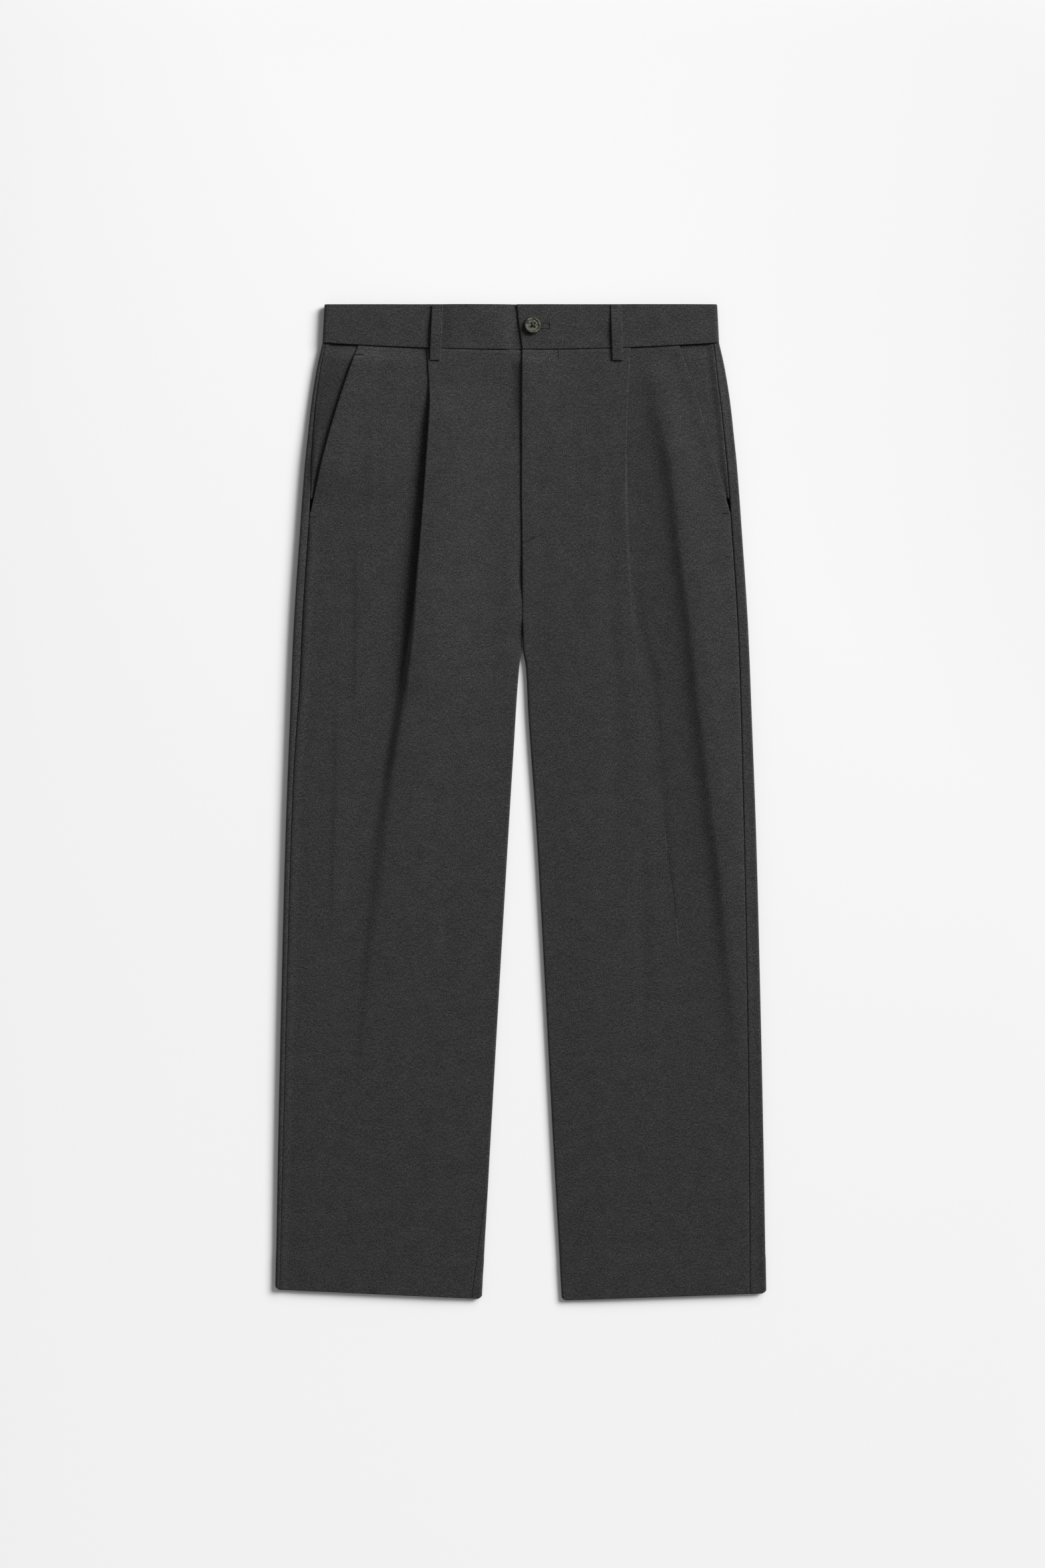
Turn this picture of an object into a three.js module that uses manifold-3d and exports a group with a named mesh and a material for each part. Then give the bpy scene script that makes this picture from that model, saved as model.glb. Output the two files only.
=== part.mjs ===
// Pleated dress trousers, laid flat on their back with the front up and the fly closed.
//
// Millimetres. +X is the wearer's left, +Y runs from the hems to the waist and +Z is up from the surface
// that the trousers lie on. The origin is on that surface, under the middle of the garment.
//
// Every cloth piece is a wall with its own thickness. A piece is a stack of sections across the garment, one
// for each station along Y, and a section is the middle line of the wall, drawn as the cloth really lies:
// flat, round a fold, or back on itself in a pleat. Both halves use the same functions. "Across" is the
// distance from the centre line towards the side that a half belongs to.
import * as THREE from "three";
import Module from "manifold-3d";

const wasm = await Module();
wasm.setup();

// ---- Driving sizes ----
const CLOTH = 1.2; // wall of a single layer
const BAND = 2.0; // wall of the stiffened waistband
const GAP = 0.3; // between pieces that are sewn together or lie on each other
const WAIST_TOP = 522; // top edge of the waistband
const WAIST_SEAM = 482; // where the waistband is sewn on, at the sides
const SEAM_SAG = 7; // how much lower that seam lies at the centre
const HEM = -520; // level that the hems are measured from
const FORK = 163; // where the legs part
const POCKET_FOOT = 305; // where the pocket mouth meets the side seam
const HEM_CORNER = 5; // reach of the round corners at the hems
const FOLD_SEAM = 0.6; // from the middle of a seam that lies on a fold to either piece
const FACING_SINK = CLOTH + 2.5 * GAP; // how far a pocket facing lies below the front's face
const FOLD_SPREAD = 50; // how far a fold's roundness carries into a panel
const FLY_REACH = 16; // how far the dip at the fly spreads into a front
const PLEAT_SINK = 2.0; // the most that a pleat's lower layer sinks; the rest of its height stands up
const PLEAT_SPREAD = { upper: 60, lower: 40 }; // how far beyond the pleat the layers come level again

// Levels down the garment: the distance from the centre line to the side fold, the height of the front's
// face, the height of the cloth's roll at the side and inner folds, and how far the belt loops under it hold
// up the back.
const LEVELS = [
  { y: 482, width: 208.0, face: 7.6, sideRoll: 4.9, innerRoll: 5.4, lift: 1.5 },
  { y: 455, width: 214.0, face: 7.4, sideRoll: 4.9, innerRoll: 5.4, lift: 1.5 },
  { y: 417, width: 220.0, face: 7.0, sideRoll: 4.8, innerRoll: 5.4, lift: 0.7 },
  { y: 385, width: 223.5, face: 6.8, sideRoll: 4.8, innerRoll: 5.4, lift: 0.0 },
  { y: 350, width: 227.0, face: 6.7, sideRoll: 4.8, innerRoll: 5.4, lift: 0.0 },
  { y: 282, width: 232.0, face: 6.7, sideRoll: 4.6, innerRoll: 5.4, lift: 0.0 },
  { y: 182, width: 238.5, face: 6.5, sideRoll: 3.9, innerRoll: 5.4, lift: 0.0 },
  { y: 81, width: 242.6, face: 6.3, sideRoll: 3.4, innerRoll: 5.4, lift: 0.0 },
  { y: -37, width: 247.0, face: 6.2, sideRoll: 3.4, innerRoll: 5.3, lift: 0.0 },
  { y: -171, width: 250.6, face: 6.0, sideRoll: 3.4, innerRoll: 5.2, lift: 0.0 },
  { y: -373, width: 255.0, face: 5.8, sideRoll: 3.4, innerRoll: 5.0, lift: 0.0 },
  { y: -520, width: 257.4, face: 5.4, sideRoll: 3.4, innerRoll: 4.6, lift: 0.0 },
];

// The two halves. seams: how far inside the side fold the side seam shows. inner: where the front ends at
// the centre, and below the fork the outermost line of the inner fold. inseam: how far the inner seam has
// turned past that line on to the face. flyDip: how far the front sinks at the fly and crotch seam. pleat:
// where its lip lies, how deep it is folded, the turn of each of its two bends, and their radius. ridge: the
// largest soft fold, its crest and height, and how far it reaches towards the centre and the side.
const HALVES = {
  right: {
    sign: -1,
    seams: [
      { y: 482, inset: 3.2 },
      { y: 393, inset: 5.4 },
      { y: 310, inset: 9.1 },
      { y: 142, inset: 9.3 },
      { y: 31, inset: 6.5 },
      { y: -300, inset: 5.4 },
      { y: -520, inset: 4.0 },
    ],
    inner: [
      { y: 482, across: -4.0 },
      { y: 305, across: -4.0 },
      { y: 285, across: -1.4 },
      { y: 200, across: -1.7 },
      { y: 163, across: -1.3 },
      { y: 142, across: 1.6 },
      { y: 47, across: 8.0 },
      { y: -104, across: 17.2 },
      { y: -272, across: 27.0 },
      { y: -520, across: 41.0 },
    ],
    inseam: [
      { y: 163, turn: 0 },
      { y: -380, turn: 0 },
      { y: -520, turn: 8.5 },
    ],
    flyDip: [
      { y: 482, dip: 2.8 },
      { y: 285, dip: 2.6 },
      { y: 262, dip: 1.6 },
      { y: 200, dip: 0.9 },
      { y: 120, dip: 0.0 },
    ],
    pleat: [
      { y: 482, across: 98.6, depth: 24.0, turn: 180, bend: 0.75 },
      { y: 440, across: 96.5, depth: 21.0, turn: 178, bend: 0.75 },
      { y: 415, across: 95.2, depth: 17.0, turn: 172, bend: 0.75 },
      { y: 361, across: 97.7, depth: 12.0, turn: 156, bend: 0.8 },
      { y: 271, across: 104.0, depth: 9.5, turn: 140, bend: 0.9 },
      { y: 180, across: 111.0, depth: 8.0, turn: 126, bend: 1.1 },
      { y: 108, across: 120.0, depth: 6.5, turn: 108, bend: 1.4 },
      { y: 50, across: 129.5, depth: 5.0, turn: 84, bend: 2.0 },
      { y: -1, across: 136.0, depth: 3.6, turn: 60, bend: 3.2 },
      { y: -60, across: 143.0, depth: 2.4, turn: 44, bend: 5.0 },
      { y: -130, across: 151.0, depth: 1.6, turn: 33, bend: 6.5 },
      { y: -220, across: 162.0, depth: 1.0, turn: 22, bend: 8.0 },
      { y: -310, across: 176.0, depth: 0.6, turn: 4, bend: 10.0 },
      { y: -520, across: 186.0, depth: 0.6, turn: 3, bend: 10.0 },
    ],
    ridge: [
      { y: 482, across: 140.0, height: 0.0, near: 20, far: 20 },
      { y: -520, across: 140.0, height: 0.0, near: 20, far: 20 },
    ],
    mouth: { top: 170.0, foot: 220.4, bow: 3.5, raise: 1.5 },
    hem: { outer: -511, inner: -521 },
  },
  left: {
    sign: 1,
    seams: [
      { y: 482, inset: 6.2 },
      { y: 434, inset: 10.4 },
      { y: 376, inset: 11.0 },
      { y: 142, inset: 11.4 },
      { y: -36, inset: 13.4 },
      { y: -274, inset: 14.6 },
      { y: -520, inset: 16.8 },
    ],
    inner: [
      { y: 482, across: 1.7 },
      { y: 320, across: 1.1 },
      { y: 285, across: 1.8 },
      { y: 200, across: 2.1 },
      { y: 163, across: 1.9 },
      { y: 142, across: 5.3 },
      { y: 95, across: 7.7 },
      { y: -26, across: 16.1 },
      { y: -171, across: 24.2 },
      { y: -373, across: 34.7 },
      { y: -520, across: 43.0 },
    ],
    inseam: [
      { y: 163, turn: 0 },
      { y: -520, turn: 0 },
    ],
    flyDip: [
      { y: 482, dip: 0.0 },
      { y: 285, dip: 0.0 },
      { y: 200, dip: 0.9 },
      { y: 120, dip: 0.0 },
    ],
    pleat: [
      { y: 482, across: 114.5, depth: 24.0, turn: 180, bend: 0.75 },
      { y: 415, across: 111.5, depth: 20.0, turn: 180, bend: 0.75 },
      { y: 324, across: 110.0, depth: 11.0, turn: 180, bend: 0.75 },
      { y: 252, across: 113.0, depth: 5.0, turn: 176, bend: 0.75 },
      { y: 190, across: 117.0, depth: 1.4, turn: 150, bend: 0.8 },
      { y: 140, across: 124.0, depth: 0.8, turn: 70, bend: 1.8 },
      { y: 90, across: 131.0, depth: 0.6, turn: 35, bend: 3.5 },
      { y: -1, across: 146.0, depth: 0.6, turn: 18, bend: 6.0 },
      { y: -150, across: 165.0, depth: 0.6, turn: 6, bend: 10.0 },
      { y: -520, across: 185.0, depth: 0.6, turn: 3, bend: 10.0 },
    ],
    ridge: [
      { y: 470, across: 140.0, height: 0.0, near: 8, far: 24 },
      { y: 430, across: 146.0, height: 2.2, near: 9, far: 26 },
      { y: 350, across: 160.0, height: 4.4, near: 10, far: 28 },
      { y: 252, across: 171.0, height: 5.2, near: 11, far: 28 },
      { y: 108, across: 191.0, height: 5.2, near: 11, far: 24 },
      { y: -1, across: 204.0, height: 4.6, near: 11, far: 20 },
      { y: -110, across: 215.0, height: 3.4, near: 11, far: 16 },
      { y: -225, across: 228.0, height: 1.2, near: 11, far: 13 },
      { y: -290, across: 232.0, height: 0.0, near: 11, far: 13 },
    ],
    mouth: { top: 166.0, foot: 218.8, bow: 1.0, raise: 0.0 },
    hem: { outer: -515, inner: -522.5 },
  },
};

// Stations along Y, closer together where the pleats, the fly and the fork change most.
const STATIONS = [
  481.6, 462, 440, 415, 385, 350, 326, 305, 285, 262, 230, 200, 180, 163, 140, 108, 50, -20, -110, -220,
  -340, -450, -520,
];
const FACING_FOOT = 320; // the facing ends between stations, just above the pocket's foot
const BAND_STATIONS = [482, 495, 509, 522];

// The waistband, as heights above the surface and distances across.
const WAISTBAND = { under: 1.5, face: 9.0, roll: 7.2, topWidth: 206, seamWidth: 208, spread: 40 };
const BAND_END_LEFT = [
  { y: 482, across: 1.7 },
  { y: 495, across: -0.4 },
  { y: 503, across: -1.8 },
  { y: 522, across: -4.2 },
];
const BAND_TAB = 35; // how far the right half runs on under the left

const LOOP = { width: 11.5, wall: 1.2, top: 521, foot: 463, arch: 1.2, steps: 8 };
const FRONT_LOOPS = { right: { top: 87.2, foot: 89.8 }, left: { top: 99.8, foot: 101.6 } };
const BACK_LOOP_ACROSS = 150;

const ZIP = { from: 5, to: 27, top: 470, foot: 300, wall: 1.0 };
const SHIELD = { to: 40, top: 474, foot: 290 };
const SHIELD_DROP = 2 * GAP + CLOTH + ZIP.wall; // the shield's face below the front's face

const BUTTON = {
  across: 12.5,
  y: 499.7,
  radius: 8.9,
  thickness: 3.0,
  chamfer: 1.1, // round its back edge
  round: 0.6, // round its front edge
  rim: 1.6,
  dish: 0.7,
  hole: 0.95,
  holeSpacing: 1.75,
  tilt: 28, // its left edge stands up
  tiltTowards: 200, // heading of the edge that stands up, from +X towards +Y
};

const COLOURS = {
  cloth: { color: 0x383838, roughness: 0.95, metalness: 0 },
  tape: { color: 0x1c1c1d, roughness: 0.9, metalness: 0 },
  horn: { color: 0x4b4e48, roughness: 0.35, metalness: 0 },
};

// ---- Small helpers ----
const radians = THREE.MathUtils.degToRad;
const mix = THREE.MathUtils.lerp;
// 0 below 0, 1 above 1, and smooth between.
const ease = (u) => THREE.MathUtils.smoothstep(u, 0, 1);

// The value of one column of a table at level y, on a smooth curve through the rows.
function at(rows, column, y) {
  const down = rows[0].y > rows[rows.length - 1].y ? rows : [...rows].reverse();
  const last = down.length - 1;
  if (y >= down[0].y) return down[0][column];
  if (y <= down[last].y) return down[last][column];
  const i = down.findIndex((row) => row.y <= y) - 1;
  const [a, b] = [down[i], down[i + 1]];
  const slope = (p, q) => (q[column] - p[column]) / (q.y - p.y);
  const own = slope(a, b);
  const before = i > 0 ? slope(down[i - 1], a) : own;
  const after = i + 2 <= last ? slope(b, down[i + 2]) : own;
  // A row that is a turning point is flat, so the curve never swings past a row.
  const tangent = (p, q) => (p * q <= 0 ? 0 : (2 * p * q) / (p + q));
  const span = b.y - a.y;
  const u = (y - a.y) / span;
  const [startSlope, endSlope] = [tangent(before, own), tangent(own, after)];
  return (
    a[column] * (1 + 2 * u) * (1 - u) ** 2 +
    b[column] * u * u * (3 - 2 * u) +
    span * (startSlope * u * (1 - u) ** 2 - endSlope * u * u * (1 - u))
  );
}

const level = (column, y) => at(LEVELS, column, y);

// 0 where the two halves are one body, 1 where each leg is a tube of its own.
const legShare = (y) => ease((200 - y) / (200 - FORK));

// ---- Where the cloth lies ----
// The line across a half where its side seam shows on the front.
const sideSeam = (half, y) => level("width", y) - at(half.seams, "inset", y);

// The pocket mouth: a slant from the waist seam to the side seam, slightly bowed.
function mouthLine(half, y) {
  const u = (WAIST_SEAM - y) / (WAIST_SEAM - POCKET_FOOT);
  return mix(half.mouth.top, half.mouth.foot, u) + half.mouth.bow * Math.sin(Math.PI * u);
}

const frontEdge = (half, y) => (y > POCKET_FOOT ? mouthLine(half, y) : sideSeam(half, y)) - GAP / 2;

// The centre of the roll at the inner end of a half's front or back. The roll grows out of the flat edge
// above the fork, and its outermost line stays on the line that the tables give.
function innerCentre(half, y, isBack = false) {
  const share = legShare(y);
  const line = at(half.inner, "across", y);
  const outermost = isBack ? mix(GAP / 2, line, share) : line;
  return outermost + (Math.sin((share * Math.PI) / 2) * level("innerRoll", y)) / 2;
}

// Height of the face of the front panel, without its pleat. It stands at its full height in the middle of
// a panel and comes down to the roll at the folds. It sinks at the closed fly and along the crotch seam.
function faceHeight(half, across, y) {
  const sideRoll = level("sideRoll", y);
  const lift = level("lift", y);
  const face = level("face", y);
  const fromSide = level("width", y) - sideRoll / 2 - across;
  const fromInner = across - innerCentre(half, y);
  const atSide = (face - lift - sideRoll) * (1 - ease(fromSide / FOLD_SPREAD));
  const atInner = (face - lift - level("innerRoll", y)) * (1 - ease(fromInner / FOLD_SPREAD));
  const dip = at(half.flyDip, "dip", y) * (1 - ease((fromInner - 4) / FLY_REACH));
  const fromCrest = across - at(half.ridge, "across", y);
  const width = at(half.ridge, fromCrest < 0 ? "near" : "far", y);
  const ridge = at(half.ridge, "height", y) * Math.exp(-((fromCrest / width) ** 2)) * ease(fromSide / 12);
  return face - atSide - legShare(y) * atInner - dip + ridge;
}

// How far the front's edge stands up along an open pocket mouth.
function mouthRaise(half, across, y) {
  const along = (y - POCKET_FOOT) / (WAIST_SEAM - POCKET_FOOT);
  const gape = along > 0 ? Math.sin(Math.PI * ease(along)) : 0;
  return half.mouth.raise * gape * ease(1 - (frontEdge(half, y) - across) / 25);
}

// A point of the wall's middle line at a rolled fold. reach is measured along the cloth from the outermost
// line of the fold, up and over on to the face if it is positive, down and under if it is negative.
function foldPoint(y, reach, { centre, roll, outward, middleOf }) {
  const radius = (level(roll, y) - CLOTH) / 2;
  const quarter = (Math.PI / 2) * radius;
  const [bottom, top] = [level("lift", y) + CLOTH / 2, middleOf(centre)];
  if (Math.abs(reach) <= quarter) {
    const angle = reach / radius;
    return [centre + outward * radius * Math.cos(angle), mix(bottom, top, (1 + Math.sin(angle)) / 2)];
  }
  const across = centre - outward * (Math.abs(reach) - quarter);
  return [across, reach > 0 ? middleOf(across) : bottom];
}

const quarterRoll = (roll, y) => (Math.PI / 4) * (level(roll, y) - CLOTH);

// Where the inner seam lies, as a reach from the outermost line of the inner fold.
function inseamReach(half, y) {
  const turn = at(half.inseam, "turn", y);
  return turn > 0 ? quarterRoll("innerRoll", y) * ease(turn / 2) + turn : 0;
}

// The two bends of a pleat, from the lip's top (heading outwards) down to the under layer.
function pleatBends(half, y, steps) {
  const turn = radians(at(half.pleat, "turn", y));
  const bend = at(half.pleat, "bend", y);
  const depth = at(half.pleat, "depth", y);
  const angles = Array.from({ length: steps + 1 }, (_, i) => (turn * i) / steps);
  const lip = angles.map((a) => [bend * Math.sin(a), -bend * (1 - Math.cos(a))]);
  const [endAcross, endHeight] = lip[steps];
  const root = angles.map((a) => [
    endAcross + depth * Math.cos(turn) + bend * (Math.sin(turn) - Math.sin(turn - a)),
    endHeight - depth * Math.sin(turn) + bend * (Math.cos(turn) - Math.cos(turn - a)),
  ]);
  const [rootAcross, rootHeight] = root[steps];
  const sink = Math.min(-rootHeight / 2, PLEAT_SINK);
  return {
    start: at(half.pleat, "across", y) - bend * Math.sin(Math.min(turn, Math.PI / 2)),
    folded: Math.max(0, -rootAcross), // how far the upper layer covers the lower one
    offsets: [...lip, ...root],
    sink,
    raise: -rootHeight - sink,
  };
}

// ---- Sections: the middle line of each piece's wall at station y, as [across, height] points ----
function frontSection(half, y) {
  const middle = (across) => faceHeight(half, across, y) + mouthRaise(half, across, y) - CLOTH / 2;
  const fold = { centre: innerCentre(half, y), roll: "innerRoll", outward: -1, middleOf: middle };
  const quarter = quarterRoll("innerRoll", y);
  const from = mix(quarter, inseamReach(half, y) + FOLD_SEAM, legShare(y));
  const to = Math.max(from, quarter) + 5;
  const points = [];
  for (let i = 0; i <= 4; i++) points.push(foldPoint(y, mix(from, to, i / 4), fold));

  const pleat = pleatBends(half, y, 3);
  const [lastAcross] = points[points.length - 1];
  const raised = (across) =>
    pleat.raise * ease(1 - (pleat.start - pleat.folded - 4 - across) / PLEAT_SPREAD.upper);
  for (const u of [0.25, 0.5, 0.72, 0.88]) {
    const across = mix(lastAcross, pleat.start, u);
    points.push([across, middle(across) + raised(across)]);
  }
  const lipHeight = middle(pleat.start) + pleat.raise;
  for (const [dx, dz] of pleat.offsets) points.push([pleat.start + dx, lipHeight + dz]);

  const [rootAcross] = points[points.length - 1];
  const clear = Math.max(rootAcross, pleat.start) + 3;
  const sunk = (across) => pleat.sink * ease(1 - (across - clear) / PLEAT_SPREAD.lower);
  for (const u of [0, 0.25, 0.5, 0.75, 1]) {
    const across = mix(clear, frontEdge(half, y), u);
    points.push([across, middle(across) - sunk(across)]);
  }
  return points;
}

function backSection(half, y) {
  const middleOf = (across) => faceHeight(half, across, y) - CLOTH / 2;
  const inner = { centre: innerCentre(half, y, true), roll: "innerRoll", outward: -1, middleOf };
  const innerQuarter = quarterRoll("innerRoll", y);
  const from = mix(-innerQuarter, inseamReach(half, y) - FOLD_SEAM, legShare(y));
  const to = -innerQuarter - 5;
  const points = [];
  for (let i = 0; i <= 6; i++) points.push(foldPoint(y, mix(from, to, i / 6), inner));

  const sideCentre = level("width", y) - level("sideRoll", y) / 2;
  const side = { centre: sideCentre, roll: "sideRoll", outward: 1, middleOf };
  const sideQuarter = quarterRoll("sideRoll", y);
  const [lastAcross] = points[points.length - 1];
  for (const u of [0.25, 0.5, 0.75])
    points.push([mix(lastAcross, side.centre, u), level("lift", y) + CLOTH / 2]);
  for (let i = -3; i <= 3; i++) points.push(foldPoint(y, (sideQuarter * i) / 3, side));
  const over = side.centre - (sideSeam(half, y) + GAP / 2);
  for (const u of [0.5, 1]) points.push(foldPoint(y, sideQuarter + over * u, side));
  return points;
}

// The facing leaves the side seam level with the back's edge, and dips under the front at the mouth.
function facingSection(half, y) {
  const from = sideSeam(half, y) - 2 * GAP;
  const mouth = mouthLine(half, y);
  const slope = Math.min(8, (from - mouth) * 0.75);
  const inner = mouth - 22;
  const stops = [from, from - slope / 3, from - (slope * 2) / 3, from - slope, mix(from - slope, inner, 0.5), inner];
  return stops.map((across) => {
    const sink = FACING_SINK * ease((from - across) / slope);
    return [across, faceHeight(half, across, y) - sink - CLOTH / 2];
  });
}

// ---- Solids ----
// How far the top and hem edges of the cloth leave their level stations.
function edgeShift(half, across, y) {
  const width = level("width", y);
  const seam = SEAM_SAG * ((across / width) ** 2 - 1);
  const top = seam * ease((y - 400) / (WAIST_SEAM - 400));
  const inside = width - across;
  const between = inside / (width - at(half.inner, "across", y));
  const nearest = Math.max(0, Math.min(inside, across - at(half.inner, "across", y)));
  const corner = 3.2 * Math.max(0, 1 - nearest / HEM_CORNER) ** 2;
  const hem = mix(half.hem.outer, half.hem.inner, between) + corner - HEM;
  return top + hem * ease((-440 - y) / (-440 - HEM));
}

// A closed wall from a grid of middle points: rows[i][j] is [across, y, height]. Each point moves half the
// wall to either side, along the normal of its section.
function wallGeometry(rows, wall, sign) {
  const columns = rows[0].length;
  const sides = [1, -1].map((face) =>
    rows.map((row) =>
      row.map(([across, y, height], j) => {
        const along = (from, to) => new THREE.Vector2(row[to][0] - row[from][0], row[to][2] - row[from][2]);
        const before = along(Math.max(0, j - 1), Math.max(1, j)).normalize();
        const after = along(Math.min(columns - 2, j), Math.min(columns - 1, j + 1)).normalize();
        const middle = before.clone().add(after).normalize();
        const reach = (face * wall) / 2 / Math.max(0.6, middle.dot(before));
        return [sign * (across - middle.y * reach), y, height + middle.x * reach];
      }),
    ),
  );
  const points = sides.flat(2);
  const index = (side, i, j) => side * rows.length * columns + i * columns + j;
  const faces = [];
  const quad = (a, b, c, d) => faces.push([a, b, c], [a, c, d]);
  for (let i = 0; i + 1 < rows.length; i++)
    for (let j = 0; j + 1 < columns; j++) {
      quad(index(0, i, j), index(0, i + 1, j), index(0, i + 1, j + 1), index(0, i, j + 1));
      quad(index(1, i, j), index(1, i, j + 1), index(1, i + 1, j + 1), index(1, i + 1, j));
    }
  const lastRow = rows.length - 1;
  for (let j = 0; j + 1 < columns; j++) {
    quad(index(0, 0, j), index(0, 0, j + 1), index(1, 0, j + 1), index(1, 0, j));
    quad(index(0, lastRow, j + 1), index(0, lastRow, j), index(1, lastRow, j), index(1, lastRow, j + 1));
  }
  for (let i = 0; i < lastRow; i++) {
    quad(index(0, i + 1, 0), index(0, i, 0), index(1, i, 0), index(1, i + 1, 0));
    const j = columns - 1;
    quad(index(0, i, j), index(0, i + 1, j), index(1, i + 1, j), index(1, i, j));
  }
  return facesOutward(points, faces);
}

// A geometry whose faces point out, whichever way round its grid was laid.
function facesOutward(points, faces) {
  const corner = (i) => new THREE.Vector3(...points[i]);
  const volume = faces.reduce((sum, [a, b, c]) => sum + corner(a).dot(corner(b).cross(corner(c))), 0);
  const turned = volume < 0 ? faces.map(([a, b, c]) => [a, c, b]) : faces;
  const geometry = new THREE.BufferGeometry();
  geometry.setAttribute("position", new THREE.Float32BufferAttribute(points.flat(), 3));
  geometry.setIndex(turned.flat());
  return geometry;
}

// A body panel: its sections at their stations, with the top and hem edges shifted to their lines.
function panel(half, stations, section) {
  const rows = stations.map((y) =>
    section(half, y).map(([across, height]) => [across, y + edgeShift(half, across, y), height]),
  );
  return wallGeometry(rows, CLOTH, half.sign);
}

// ---- Waistband ----
const bandSeam = (across) => WAIST_SEAM + SEAM_SAG * ((across / WAISTBAND.seamWidth) ** 2 - 1);

function bandHeight(across, y) {
  const width = bandWidth(y);
  const low = WAISTBAND.under + WAISTBAND.roll;
  return low + (WAISTBAND.face - low) * ease((width - WAISTBAND.roll / 2 - across) / WAISTBAND.spread);
}

const bandWidth = (y) =>
  mix(WAISTBAND.seamWidth, WAISTBAND.topWidth, (y - WAIST_SEAM) / (WAIST_TOP - WAIST_SEAM));

// From the front end over the face, round the side fold and back to the centre back. The right half sinks
// under the left one before the centre.
function bandSection(half, y) {
  const radius = (WAISTBAND.roll - BAND) / 2;
  const centre = bandWidth(y) - WAISTBAND.roll / 2;
  const isRight = half === HALVES.right;
  const end = isRight ? -BAND_TAB : at(BAND_END_LEFT, "across", y);
  const sink = (across) => (isRight ? (BAND + GAP) * (1 - ease((across - 5) / 14)) : 0);
  const stops = isRight ? [end, -12, 5, 9, 12, 15, 19] : [end, end + 6, 20];
  const points = stops.map((across) => [across, bandHeight(across, y) - BAND / 2 - sink(across)]);
  for (const u of [0.33, 0.66, 0.85]) {
    const across = mix(20, centre, u);
    points.push([across, bandHeight(across, y) - BAND / 2]);
  }
  for (let i = 3; i >= -3; i--) {
    const a = ((Math.PI / 2) * i) / 3;
    const height = WAISTBAND.under + WAISTBAND.roll / 2 + radius * Math.sin(a);
    points.push([centre + radius * Math.cos(a), height]);
  }
  for (const u of [0.33, 0.66, 1]) points.push([mix(centre, GAP / 2, u), WAISTBAND.under + BAND / 2]);
  return points;
}

function waistband(half) {
  const share = (y) => (WAIST_TOP - y) / (WAIST_TOP - WAIST_SEAM);
  const rows = BAND_STATIONS.map((y) =>
    bandSection(half, y).map(([across, height]) => [
      across,
      y + (bandSeam(across) - WAIST_SEAM) * share(y),
      height,
    ]),
  );
  return wallGeometry(rows, BAND, half.sign);
}

// ---- Belt loops ----
// A strip along Y. centreLine gives its middle across and the height of its underside at level y.
function loopStrip(centreLine) {
  const rows = [];
  for (let i = 0; i <= LOOP.steps; i++) {
    const y = mix(LOOP.top, LOOP.foot, i / LOOP.steps);
    const { x, under } = centreLine(y, i / LOOP.steps);
    const middle = under + LOOP.wall / 2;
    rows.push([-0.5, 0.5].map((u) => [x + u * LOOP.width, y, middle]));
  }
  return wallGeometry(rows, LOOP.wall, 1);
}

// A front loop rests on the waistband and on the upper layer of its pleat, whichever is higher, and
// arches up between its sewn ends.
function frontLoop(half, { top, foot }) {
  const pleatTop = faceHeight(half, foot, LOOP.foot) + pleatBends(half, LOOP.foot, 1).raise;
  const rest = Math.max(WAISTBAND.face, pleatTop) + 1.3 * GAP;
  return loopStrip((y, u) => ({
    x: half.sign * mix(top, foot, u),
    under: rest + LOOP.arch * Math.sin(Math.PI * u) ** 2,
  }));
}

const backLoop = (x) => loopStrip(() => ({ x, under: 0 }));

// ---- Fly ----
// A flat strip that follows the left front from below, a set drop under its face.
function flyStrip({ from, to, top, foot, wall }, drop) {
  const stations = [top, 440, 400, 350, foot].sort((a, b) => b - a);
  const rows = stations.map((y) =>
    [0, 0.25, 0.5, 0.75, 1].map((u) => {
      const across = mix(from, to, u);
      const rounded = y === foot ? 4 * (2 * u - 1) ** 2 : 0;
      return [across, y + rounded, faceHeight(HALVES.left, across, y) - drop - wall / 2];
    }),
  );
  return wallGeometry(rows, wall, 1);
}

// ---- Button ----
// A dished disc with a raised rim and four holes, tipped so that its left edge stands up.
function buttonGeometry() {
  const { radius, thickness, chamfer, round, rim, dish, hole, holeSpacing } = BUTTON;
  const profile = [
    [0, 0],
    [radius - chamfer, 0],
    [radius, chamfer],
    [radius, thickness - round],
    [radius - round, thickness],
    [radius - rim, thickness],
    [radius - rim - dish, thickness - dish],
    [0, thickness - dish],
  ];
  const disc = new THREE.LatheGeometry(profile.map(([r, z]) => new THREE.Vector2(r, z)), 32);
  disc.rotateX(Math.PI / 2);
  let solid = manifoldOf(disc);
  for (const [sx, sy] of [[1, 1], [-1, 1], [-1, -1], [1, -1]]) {
    const drill = new THREE.CylinderGeometry(hole, hole, 3 * thickness, 10);
    drill.rotateX(Math.PI / 2);
    drill.translate(sx * holeSpacing, sy * holeSpacing, 0);
    solid = solid.subtract(manifoldOf(drill));
  }
  return geometryOf(solid);
}

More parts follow.
